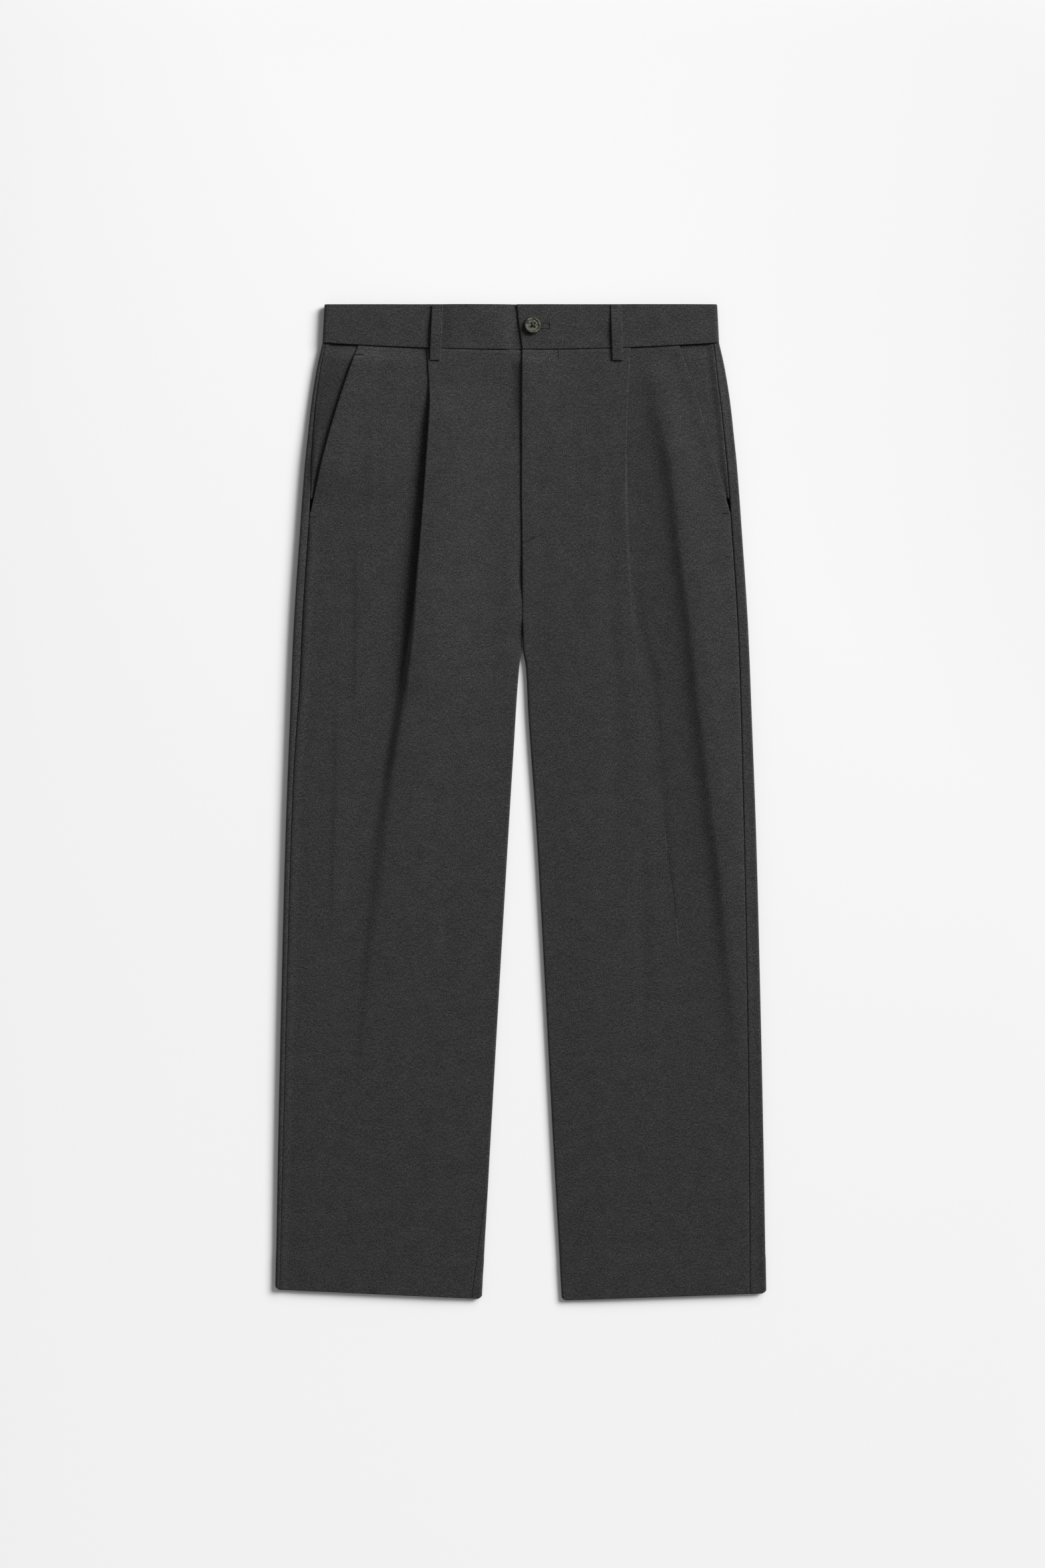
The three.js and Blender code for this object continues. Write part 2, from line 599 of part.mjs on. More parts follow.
function manifoldOf(geometry) {
  const corners = geometry.index ? geometry.toNonIndexed() : geometry;
  const positions = corners.getAttribute("position").array;
  const seen = new Map();
  const points = [];
  const faces = [];
  for (let i = 0; i < positions.length; i += 9) {
    const ids = [0, 3, 6].map((k) => {
      const p = [0, 1, 2].map((n) => Math.round(positions[i + k + n] * 1e4) / 1e4 + 0);
      const key = p.join();
      if (!seen.has(key)) {
        seen.set(key, points.length);
        points.push(p);
      }
      return seen.get(key);
    });
    if (new Set(ids).size === 3) faces.push(ids);
  }
  const outward = facesOutward(points, faces);
  return new wasm.Manifold(
    new wasm.Mesh({
      numProp: 3,
      vertProperties: outward.getAttribute("position").array,
      triVerts: new Uint32Array(outward.index.array),
    }),
  );
}

function geometryOf(solid) {
  const mesh = solid.getMesh();
  const geometry = new THREE.BufferGeometry();
  geometry.setAttribute("position", new THREE.BufferAttribute(new Float32Array(mesh.vertProperties), 3));
  geometry.setIndex(new THREE.BufferAttribute(new Uint32Array(mesh.triVerts), 1));
  return geometry;
}

// ---- The garment ----
const trousers = new THREE.Group();
trousers.name = "trousers";

function add(name, geometry, finish) {
  const mesh = new THREE.Mesh(geometry, new THREE.MeshStandardMaterial(finish));
  mesh.name = name;
  trousers.add(mesh);
  return mesh;
}

for (const [name, half] of Object.entries(HALVES)) {
  add(`front_${name}`, panel(half, STATIONS, frontSection), COLOURS.cloth);
  add(`back_${name}`, panel(half, STATIONS, backSection), COLOURS.cloth);
  const facingStations = [...STATIONS.filter((y) => y > FACING_FOOT), FACING_FOOT];
  add(`pocket_facing_${name}`, panel(half, facingStations, facingSection), COLOURS.cloth);
  add(`waistband_${name}`, waistband(half), COLOURS.cloth);
  add(`belt_loop_front_${name}`, frontLoop(half, FRONT_LOOPS[name]), COLOURS.cloth);
  add(`belt_loop_back_${name}`, backLoop(half.sign * BACK_LOOP_ACROSS), COLOURS.cloth);
}
add("belt_loop_back_centre", backLoop(0), COLOURS.cloth);
add("fly_zip", flyStrip(ZIP, CLOTH + GAP), COLOURS.tape);
const shield = { from: 4 + GAP, to: SHIELD.to, top: SHIELD.top, foot: SHIELD.foot, wall: CLOTH };
add("fly_shield", flyStrip(shield, SHIELD_DROP), COLOURS.cloth);

const button = add("waist_button", buttonGeometry(), COLOURS.horn);
const tilt = radians(BUTTON.tilt);
const heading = radians(BUTTON.tiltTowards);
button.setRotationFromAxisAngle(new THREE.Vector3(Math.sin(heading), -Math.cos(heading), 0), tilt);
const seat = WAISTBAND.face + GAP + (BUTTON.radius - BUTTON.chamfer) * Math.sin(tilt);
button.position.set(BUTTON.across, BUTTON.y, seat);

export default trousers;
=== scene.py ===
# %% [markdown]
# # Pleated dress trousers, laid flat
#
# Charcoal wool trousers lie on their back on a pale floor. They are cut as two fronts and two backs, a
# waistband in two halves, five belt loops, two pocket facings, and a zip with its shield under the fly.
#
# The imported part gives thick faceted cloth. Here each piece becomes a thin smooth wall on the same form,
# with its folds and creases laid in, a woven finish, and the thread that holds the garment together.
#
# Sizes are in millimetres, as a tailor would write them, and turn to metres when a mesh is made.

import bmesh
import bpy
import numpy as np
from mathutils import Matrix, Vector


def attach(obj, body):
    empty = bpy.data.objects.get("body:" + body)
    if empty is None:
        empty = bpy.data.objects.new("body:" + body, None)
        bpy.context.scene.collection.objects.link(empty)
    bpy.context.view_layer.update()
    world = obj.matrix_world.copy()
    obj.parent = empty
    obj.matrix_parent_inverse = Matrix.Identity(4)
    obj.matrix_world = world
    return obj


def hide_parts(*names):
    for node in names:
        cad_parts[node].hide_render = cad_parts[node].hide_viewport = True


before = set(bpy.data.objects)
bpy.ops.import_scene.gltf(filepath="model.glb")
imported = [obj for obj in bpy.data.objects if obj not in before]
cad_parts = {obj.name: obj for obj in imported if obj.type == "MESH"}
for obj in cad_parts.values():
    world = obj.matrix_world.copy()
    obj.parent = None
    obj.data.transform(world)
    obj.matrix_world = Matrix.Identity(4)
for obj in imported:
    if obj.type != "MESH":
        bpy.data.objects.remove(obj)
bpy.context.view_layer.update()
MM = 0.001

# %% [markdown]
# ## Tables
#
# A tailor's draft is a short table: at this level the leg is so wide, the seam lies here. Between two levels
# the line is a smooth curve. A cubic through the rows, with each row's slope taken from its neighbours, gives
# that, and a slope of nothing at a turning point keeps the curve from swinging past a row.


# %% Tables and curves
def table(columns, *rows):
    """Sizes by level: a named column for each size, and a row for each level, lowest first."""
    return dict(zip(columns.split(), np.array(sorted(rows), float).T))


def at(rows, column, y):
    """A column's value at level y.

    With u from 0 to 1 between two rows a and b, the value is a (1 + 2u)(1 - u)^2 + b u^2 (3 - 2u) plus the
    two slopes' parts. A row's slope is the harmonic mean of the slopes on its two sides.
    """
    levels, values = rows["y"], rows[column]
    y = np.clip(y, levels[0], levels[-1])
    i = np.clip(np.searchsorted(levels, y, side="right") - 1, 0, len(levels) - 2)
    span = np.diff(levels)
    own = np.diff(values) / span
    before, after = np.append(own[:1], own), np.append(own, own[-1:])
    product, total = before * after, before + after
    slope = np.where(product > 0, 2 * product / np.where(product > 0, total, 1), 0)
    u, width = (y - levels[i]) / span[i], span[i]
    return (
        values[i] * (1 + 2 * u) * (1 - u) ** 2
        + values[i + 1] * u * u * (3 - 2 * u)
        + width * (slope[i] * u * (1 - u) ** 2 - slope[i + 1] * u * u * (1 - u))
    )


def ease(u):
    """0 below 0, 1 above 1, and smooth between: u^2 (3 - 2u)."""
    u = np.clip(u, 0, 1)
    return u * u * (3 - 2 * u)


def mix(a, b, u):
    """The value u of the way from a to b."""
    return a + (b - a) * u


# %% [markdown]
# ## The draft
#
# These are the sizes of the garment as it lies. Across is measured from the centre line towards the side that
# a half belongs to. The side fold gets wider from the waist to the hem. The face of the fronts stands about
# 7 mm above the floor, and the cloth rolls over at its sides in a smaller round.
#
# In the table of a half, "seams" is how far the side seam lies inside the side fold, and "inner" is the line
# of the fly and the inner fold. "inseam" is how far the inner seam has turned under, and "fly_dip" how far
# the front sinks beside the fly, over "fly_spread". Then come the pleat, the pocket mouth, the press of the
# side fold, and the level of the hem at its outer and inner end.

# %% Sizes of the whole garment
CLOTH = 0.8  # a single layer of cloth
BAND = 1.8  # the stiffened waistband
GAP = 0.3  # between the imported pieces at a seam
WAIST_TOP, WAIST_SEAM, POCKET_FOOT, FORK, HEM = 522, 482, 305, 163, -520  # levels
PARTING = 200  # the level from which the legs begin to be tubes of their own
SEAM_SAG, SAG_FOOT = 7, 400  # how far the waist seam hangs in the middle, and the level where that has ended
SLANT_TOP = -440  # the level from which the rows begin to slant with the hem
HEM_CORNER, HEM_ROUND = 5, 3.2  # reach and height of the round at a hem's corner
SIDE_SPREAD, INNER_SPREAD = 30, 50  # how far from a fold the face begins to come down to it

LEVELS = table(
    "y width face side_roll inner_roll lift",
    (482, 208.0, 7.6, 5.4, 5.4, 1.5),
    (455, 214.0, 7.4, 5.4, 5.4, 1.5),
    (417, 220.0, 7.0, 5.8, 5.4, 0.7),
    (385, 223.5, 6.8, 6.3, 5.4, 0.0),
    (350, 227.0, 6.7, 6.4, 5.4, 0.0),
    (282, 232.0, 6.7, 6.4, 5.4, 0.0),
    (182, 238.5, 6.5, 6.3, 5.4, 0.0),
    (81, 242.6, 6.3, 6.2, 5.4, 0.0),
    (-37, 247.0, 6.2, 6.0, 5.3, 0.0),
    (-171, 250.6, 6.0, 5.6, 5.2, 0.0),
    (-373, 255.0, 5.8, 5.0, 5.0, 0.0),
    (-520, 257.4, 5.4, 4.4, 4.6, 0.0),
)


def level(column, y):
    """A size of the whole garment at level y."""
    return at(LEVELS, column, y)


# %% Sizes of the right half, which the wearer's left laps over
RIGHT = {
    "sign": -1,
    "seams": table(
        "y inset",
        (482, 3.2), (393, 5.4), (310, 9.1), (142, 9.3), (31, 6.5), (-300, 5.4), (-520, 4.0),
    ),
    "inner": table(
        "y across",
        (482, -4.0), (305, -4.0), (285, -1.4), (200, -1.7), (163, -1.3), (142, 1.6), (47, 8.0),
        (-104, 17.2), (-272, 27.0), (-520, 41.0),
    ),
    "inseam": table("y turn", (163, 0), (-380, 0), (-520, 8.5)),
    "fly_dip": table(
        "y dip",
        (482, 2.4), (475, -0.6), (466, -3.4), (435, -3.2), (394, -1.0), (340, 0.9), (285, 1.4), (262, 1.7),
        (235, 2.6), (215, 1.2), (196, 1.2), (176, 2.4), (150, 0.8), (120, 0.0),
    ),
    "fly_spread": (-3, 18),
    "pleat": table(
        "y across depth turn bend",
        (482, 98.0, 24.0, 180, 0.46),
        (445, 96.2, 22.0, 180, 0.46),
        (425, 95.4, 18.0, 174, 0.6),
        (400, 96.4, 14.0, 162, 0.8),
        (361, 99.0, 11.5, 152, 0.9),
        (296, 103.8, 10.8, 142, 1.0),
        (240, 108.8, 6.6, 120, 1.8),
        (180, 114.4, 4.6, 84, 3.6),
        (135, 120.0, 4.6, 62, 5.4),
        (100, 125.4, 4.6, 38, 9.5),
        (60, 132.0, 4.6, 38, 9.0),
        (16, 139.0, 4.2, 27, 14.0),
        (-68, 149.5, 3.6, 18, 25.0),
        (-151, 159.0, 2.4, 13, 30.0),
        (-243, 167.0, 1.4, 9, 30.0),
        (-310, 172.0, 0.6, 4, 30.0),
        (-520, 186.0, 0.6, 3, 30.0),
    ),
    "mouth": {
        "top": 170.0, "foot": 220.4, "bow": 3.5, "gape": 2.2, "swell": 6.0, "crest": 3, "reach": (24, 75),
    },
    "fold": {"rise": 1.6, "ridge": 1.5, "hollow": 1.1, "strip": 0.0, "kept": 0.0},
    "hem": (-511, -521),
}

# %% Sizes of the left half
LEFT = {
    "sign": 1,
    "seams": table(
        "y inset",
        (482, 6.2), (434, 10.4), (376, 11.0), (142, 11.4), (-36, 13.4), (-274, 14.6), (-520, 16.8),
    ),
    "inner": table(
        "y across",
        (482, 1.7), (320, 1.1), (285, 1.8), (200, 2.1), (163, 1.9), (142, 5.3), (95, 7.7), (-26, 16.1),
        (-171, 24.2), (-373, 34.7), (-520, 43.0),
    ),
    "inseam": table("y turn", (163, 0), (-520, 0)),
    "fly_dip": table(
        "y dip",
        (482, -0.6), (475, -2.4), (466, -4.9), (435, -4.8), (394, -2.8), (350, -1.2), (285, -0.7),
        (235, -1.0), (200, 0.3), (176, -0.4), (120, 0.0),
    ),
    "fly_spread": (3, 58),
    "pleat": table(
        "y across depth turn bend",
        (482, 114.5, 24.0, 180, 0.46),
        (450, 113.0, 20.0, 180, 0.46),
        (425, 112.0, 10.0, 180, 0.46),
        (400, 111.0, 3.0, 180, 0.46),
        (385, 110.7, 1.0, 160, 0.46),
        (365, 110.4, 0.6, 110, 0.6),
        (340, 110.1, 0.5, 60, 1.0),
        (300, 111.0, 0.5, 17, 6.5),
        (252, 113.0, 0.5, 15, 7.5),
        (190, 117.0, 0.5, 13, 8.0),
        (155, 121.0, 0.4, 10, 8.0),
        (125, 127.0, 0.3, 6, 6.0),
        (-1, 146.0, 0.3, 4, 3.0),
        (-150, 165.0, 0.3, 3, 5.0),
        (-520, 185.0, 0.3, 3, 5.0),
    ),
    "mouth": {
        "top": 166.0, "foot": 218.8, "bow": 1.0, "gape": 0.0, "swell": 1.2, "crest": 26, "reach": (30, 34),
    },
    "fold": {"rise": 0.9, "ridge": 0.0, "hollow": 0.3, "strip": 0.6, "kept": 0.75},
    "hem": (-515, -522.5),
}
PLEAT_SINK = 0.8  # how far the under layer of a pleat sinks at most
PLEAT_SPREAD = {"upper": 85, "lower": 40}  # how far from the pleat the two layers come back to the face

# %% [markdown]
# ## Folds and creases
#
# Cloth that has hung and then been laid down keeps long folds along the legs and short creases at the seams.
# A simulation would give other folds each time a size changed. So each fold is given one by one instead: it
# follows a line, stands up or sinks by so much, and fades over a different width on either side, which is
# what makes one side steep and the other soft.

# %% Long folds, by level: the crest's place, its height, and its reach towards the left and right of the view
LONG_FOLDS = [
    # The largest fold, on the left leg: a steep wall towards the fly, and a soft slope towards the side.
    table(
        "y x height near far",
        (474, 136, 0.0, 12, 18), (440, 141, 1.8, 12, 20), (400, 149, 3.2, 11, 22), (350, 159, 4.0, 10, 25),
        (252, 170, 4.2, 9, 28), (182, 180, 4.3, 10, 30), (108, 188, 4.4, 10, 30), (-1, 201, 4.3, 10, 30),
        (-65, 209, 4.1, 9, 30), (-150, 217, 2.8, 9, 24), (-240, 227, 1.4, 9, 16), (-310, 232, 0.0, 8, 10),
    ),
    # Its broad foot, which lifts the cloth between the pleat and the crest, and keeps it up to the side.
    table(
        "y x height near far",
        (474, 150, 0.0, 24, 60), (430, 158, 2.4, 32, 60), (350, 174, 5.0, 42, 80), (252, 186, 5.4, 46, 90),
        (108, 204, 4.8, 46, 90), (-1, 212, 3.6, 42, 80), (-110, 219, 2.4, 36, 60), (-250, 229, 0.6, 30, 40),
        (-330, 230, 0.0, 28, 40),
    ),
    # The pressed line beside the closed pleat of the left leg.
    table(
        "y x height near far",
        (250, 121, 0.0, 8, 4), (228, 121.5, -0.6, 9, 3.5), (167, 130, -1.0, 12, 4), (133, 139, -1.0, 14, 4),
        (0, 148, -0.9, 14, 4.5), (-114, 158.6, -0.5, 14, 5), (-180, 163, 0.0, 12, 5),
    ),
    # Two hollows down the middle of the left leg.
    table(
        "y x height near far",
        (380, 92, 0.0, 9, 7), (300, 93, -0.7, 9, 7), (190, 95, -0.8, 10, 7), (100, 100, -0.8, 10, 8),
        (0, 100, -0.7, 10, 8), (-90, 93, 0.0, 10, 8),
    ),
    table("y x height near far", (-20, 125, 0.0, 7, 7), (-60, 126, -0.7, 7, 6), (-194, 128, -0.6, 7, 7),
          (-300, 128, 0.0, 8, 8)),
    # Faint lines on the right leg, outside its pleat.
    table("y x height near far", (310, -172, 0.0, 3.5, 12), (240, -171, 0.8, 3.5, 14),
          (140, -172, 0.8, 3.5, 14), (80, -174, 0.0, 3.5, 12)),
    table("y x height near far", (110, -193, 0.0, 3.5, 12), (60, -192, 0.8, 3.5, 14),
          (-60, -195, 0.8, 3.5, 14), (-160, -199, 0.0, 3.5, 12)),
    # Shallow hollows and a low swelling, lower down on either leg.
    table("y x height near far", (-80, -80, 0.0, 7, 7), (-150, -79, -0.5, 7, 6), (-250, -76, 0.0, 7, 7)),
    table("y x height near far", (-190, -124, 0.0, 9, 9), (-300, -126, 0.4, 12, 9), (-440, -130, 0.0, 9, 9)),
    table("y x height near far", (-250, 150, 0.0, 9, 9), (-340, 152, -0.4, 12, 9), (-450, 155, 0.0, 9, 9)),
]

# %% Short creases: from one end to the other, with a bow, a height, and a reach to the left and right of it
# Down from the waist seam, beside the right loop, out from the foot of the fly and its slanting tack, and
# across each leg above its hem.
CREASES = table(
    "y0 x0 y1 x1 bow height left right",
    (474, 39, 372, 41, 1, -0.25, 4, 4),
    (482, -82, 440, -84, 0, -0.9, 5, 4),
    (470, 54, 250, 57, 2, -0.30, 6, 5),
    (470, 77, 260, 74, -2, -0.35, 7, 6),
    (440, -156, 226, -157, 1, 0.35, 5, 4),
    (430, -141, 250, -141, 0, 0.30, 5, 4),
    (474, -30, 330, -34, 2, -0.35, 8, 6),
    (474, -58, 300, -55, 2, -0.30, 8, 7),
    (300, 8, 215, 34, 3, -0.35, 7, 6),
    (262, -6, 190, -36, 3, -0.35, 7, 6),
    (196, 8, 120, 36, 2, -0.30, 7, 6),
    (180, -6, 100, -34, 2, -0.30, 7, 6),
    (269.6, 0.5, 279.6, 17.0, 0.4, -1.3, 1.8, 1.1),
    (-462, 46, -464, 212, 1, -0.30, 7, 7),
    (-482, 50, -484, 225, 1, 0.25, 6, 6),
    (-478, -52, -476, -235, 1, 0.22, 6, 6),
)


def creased(rows, x, y):
    """Height that a table's short creases add at a place, in the garment's own x and y.

    With u from 0 to 1 along a crease, and off the distance from its bowed line, a crease adds
    height 16 u^2 (1 - u)^2 exp(-(off / reach)^2), so it fades in and out.
    """
    total = np.zeros(np.broadcast(x, y).shape)
    for y0, x0, y1, x1, bow, height, left, right in zip(*rows.values()):
        length = np.hypot(x1 - x0, y1 - y0)
        tx, ty = (x1 - x0) / length, (y1 - y0) / length
        u = np.clip(((x - x0) * tx + (y - y0) * ty) / length, 0, 1)
        off = (x - x0) * -ty + (y - y0) * tx - bow * 4 * u * (1 - u)
        reach = np.where(off < 0, left, right)
        total = total + height * 16 * (u * (1 - u)) ** 2 * np.exp(-((off / reach) ** 2))
    return total


def lie(x, y):
    """How far the cloth stands above its draft at a place: its long folds and its short creases.

    A long fold of crest c(y) adds height(y) exp(-((x - c) / reach)^2).
    """
    total = np.zeros(np.broadcast(x, y).shape)
    for fold in LONG_FOLDS:
        off = x - at(fold, "x", y)
        reach = np.where(off < 0, at(fold, "near", y), at(fold, "far", y))
        total = total + at(fold, "height", y) * np.exp(-((off / reach) ** 2))
    return total + creased(CREASES, x, y)


print(len(LONG_FOLDS), "long folds and", len(CREASES["bow"]), "short creases")


# %% [markdown]
# ## Where the cloth lies
#
# Above the fork both halves are one flat bag. Below it each leg is a tube of its own, pressed nearly flat.
# The functions here give the lines that the panels are cut along, and the height of the front's face. All of
# them take whole arrays, so a grid of thousands of points is worked out at once.


# %% Seam lines and the height of the face
def leg_share(y):
    """0 where the halves are one body, 1 where each leg is a tube."""
    return ease((PARTING - y) / (PARTING - FORK))


def side_seam(half, y):
    """Across to the line where the side seam shows on the front."""
    return level("width", y) - at(half["seams"], "inset", y)


def mouth_line(half, y):
    """Across to the pocket mouth: a slant from the waist to the side seam, bowed as a half sine."""
    u = (WAIST_SEAM - y) / (WAIST_SEAM - POCKET_FOOT)
    mouth = half["mouth"]
    return mix(mouth["top"], mouth["foot"], u) + mouth["bow"] * np.sin(np.pi * u)


def front_edge(half, y):
    """Across to the outer edge of the front: the mouth, and the side seam below it."""
    return np.where(y > POCKET_FOOT, mouth_line(half, y), side_seam(half, y))


def inner_centre(half, y, is_back=False):
    """Across to the centre of the roll at the inner edge, which grows out of the flat edge at the fork."""
    share = leg_share(y)
    line = at(half["inner"], "across", y)
    outermost = mix(0, line, share) if is_back else line
    return outermost + np.sin(share * np.pi / 2) * level("inner_roll", y) / 2


def fly_dip(half, across, y):
    """How far a front sinks beside the fly's edge, or stands up where the table's size is negative."""
    from_inner = across - inner_centre(half, y)
    begin, spread = half["fly_spread"]
    return at(half["fly_dip"], "dip", y) * (1 - ease((from_inner - begin) / spread))


# %% What the face adds to that: the side seam's ridge, and the swell and gape of the pocket mouth
RIDGE_INSIDE, RIDGE_REACH, HOLLOW_REACH = 3, 4, 3
FOOT_FADE, SWELL_FADE, GAPE_FADE = 0.3, 0.1, 0.14  # shares of the mouth's length
GAPE_REACH = 40
INNER_FADE, SIDE_FADE, SWELL_STOP = 12, 14, 9  # from a fold, how far inwards it still holds the cloth flat
PRESS_REACH = 5


def seam_ridge(half, across, y):
    """The allowances under the side seam: a low ridge just inside it, and a hollow along it.

    With d the distance inside the seam, this is ridge exp(-((d - 3) / 4)^2) - hollow exp(-(d / 3)^2). It
    begins below the pocket, and loses half its strength down the thigh.
    """
    inside, fold = side_seam(half, y) - across, half["fold"]
    strength = ease((POCKET_FOOT - y) / 25) * mix(0.5, 1, ease((y + 100) / 300))
    ridge = fold["ridge"] * np.exp(-(((inside - RIDGE_INSIDE) / RIDGE_REACH) ** 2))
    return strength * (ridge - fold["hollow"] * np.exp(-((inside / HOLLOW_REACH) ** 2)))


def along_mouth(y):
    """0 at the foot of the pocket mouth, 1 at the waist seam."""
    return np.clip((y - POCKET_FOOT) / (WAIST_SEAM - POCKET_FOOT), 0, 1)


def mouth_swell(half, across, y):
    """The body's swell under a pocket mouth, with a reach of its own towards the side and the middle."""
    along, mouth = along_mouth(y), half["mouth"]
    off = across - mouth_line(half, y) - mouth["crest"]
    reach = np.where(off > 0, *mouth["reach"])
    strength = mouth["swell"] * ease(along / FOOT_FADE) * ease((1 - along) / SWELL_FADE)
    return strength * np.exp(-((off / reach) ** 2))


def mouth_gape(half, across, y):
    """How far the front stands up along an open pocket mouth, between its two tacked ends."""
    along = along_mouth(y)
    reach = ease(1 - (front_edge(half, y) - across) / GAPE_REACH)
    return half["mouth"]["gape"] * ease(along / FOOT_FADE) * ease((1 - along) / GAPE_FADE) * reach


def face_height(half, across, y):
    """Height of the front's face: flat in the middle, down to the rolls at the folds, and sunk at the fly."""
    side, lift, face = level("side_roll", y), level("lift", y), level("face", y)
    from_side = level("width", y) - side / 2 - across
    from_inner = across - inner_centre(half, y)
    at_side = (face - lift - side) * (1 - ease(from_side / SIDE_SPREAD))
    at_inner = (face - lift - level("inner_roll", y)) * (1 - ease(from_inner / INNER_SPREAD))
    folds = lie(half["sign"] * across, y) * mix(1, ease(from_inner / INNER_FADE), leg_share(y))
    folds = folds * mix(half["fold"]["kept"], 1, ease(from_side / SIDE_FADE))
    folds = folds + mouth_swell(half, across, y) * ease(from_side / SWELL_STOP) + seam_ridge(half, across, y)
    folds = folds + half["fold"]["rise"] * np.exp(-((from_side / PRESS_REACH) ** 2)) * ease((440 - y) / 80)
    return face - at_side - leg_share(y) * at_inner - fly_dip(half, across, y) + folds


# %% Rolls and pleats
ROLL_NOSE = 1.9  # a pressed fold is taller than it is deep


def quarter_roll(roll, y):
    """Length of a quarter of a roll's middle line."""
    return np.pi / 4 * (level(roll, y) - CLOTH)


def rolled(y, reach, centre, roll, outward, face):
    """Middle line of a rolled fold: half an ellipse, at most ROLL_NOSE deep, and level cloth beyond it.

    reach runs along the cloth from the fold's outermost line, up and over if it is positive and down and
    under if it is negative. face gives the height of the upper layer.
    """
    radius = (level(roll, y) - CLOTH) / 2
    angle = np.clip(reach / radius, -np.pi / 2, np.pi / 2)
    past = np.maximum(np.abs(reach) - radius * np.pi / 2, 0)
    nose = np.minimum(radius, ROLL_NOSE)
    across = centre + outward * (radius + nose * (np.cos(angle) - 1) - past)
    top = face(np.where(past > 0, across, centre))
    bottom = level("lift", y) + CLOTH / 2
    return across, mix(bottom, top, (1 + np.sin(angle)) / 2)


def inseam_reach(half, y):
    """Where the inner seam lies, as a reach from the outermost line of the inner fold."""
    turn = at(half["inseam"], "turn", y)
    return np.where(turn > 0, quarter_roll("inner_roll", y) * ease(turn / 2) + turn, 0)


def pleat_bends(half, y, steps=7):
    """The two bends of a pleat, from the lip's top down to the under layer.

    The lip is an arc of the table's turn. The cloth then runs straight for the pleat's depth, and an equal
    arc the other way brings it level again. The under layer sinks by half the height, at most PLEAT_SINK.
    """
    turn = np.radians(at(half["pleat"], "turn", y))
    bend, depth = at(half["pleat"], "bend", y), at(half["pleat"], "depth", y)
    angles = turn * np.linspace(0, 1, steps)
    lip_x, lip_z = bend * np.sin(angles), -bend * (1 - np.cos(angles))
    along = np.linspace(0, 1, 6)[1:-1] * depth
    straight_x = lip_x[:, -1:] + along * np.cos(turn)
    straight_z = lip_z[:, -1:] - along * np.sin(turn)
    root_x = lip_x[:, -1:] + depth * np.cos(turn) + bend * (np.sin(turn) - np.sin(turn - angles))
    root_z = lip_z[:, -1:] - depth * np.sin(turn) + bend * (np.cos(turn) - np.cos(turn - angles))
    drop = -root_z[:, -1:]
    sink = np.minimum(drop / 2, PLEAT_SINK)
    return {
        "start": at(half["pleat"], "across", y) - bend * np.sin(np.minimum(turn, np.pi / 2)),
        "folded": np.maximum(0, -root_x[:, -1:]),
        "x": np.hstack([lip_x, straight_x, root_x]),
        "z": np.hstack([lip_z, straight_z, root_z]),
        "sink": sink,
        "raise": drop - sink,
    }


# %% [markdown]
# ## A wall from a grid
#
# Blender's Solidify can thicken a surface, but it leaves square borders. Cloth ends in a turned edge, which
# is round. So the wall is worked out here: every point of the middle surface moves half the thickness along
# the normal to either side, and the thickness itself runs out in a half circle at the border. The same grid
# gives the woven finish its map, with real distances along and across the cloth.


# %% Walls
def unit(vectors):
    """Vectors of length 1 in the same directions."""
    return vectors / np.maximum(np.linalg.norm(vectors, axis=-1, keepdims=True), 1e-9)


def run(points, axis):
    """Distance along a grid's rows (axis 1) or columns (axis 0), from the first point."""
    steps = np.linalg.norm(np.diff(points, axis=axis), axis=-1)
    total = np.cumsum(steps, axis=axis)
    return np.insert(total, 0, 0, axis=axis)


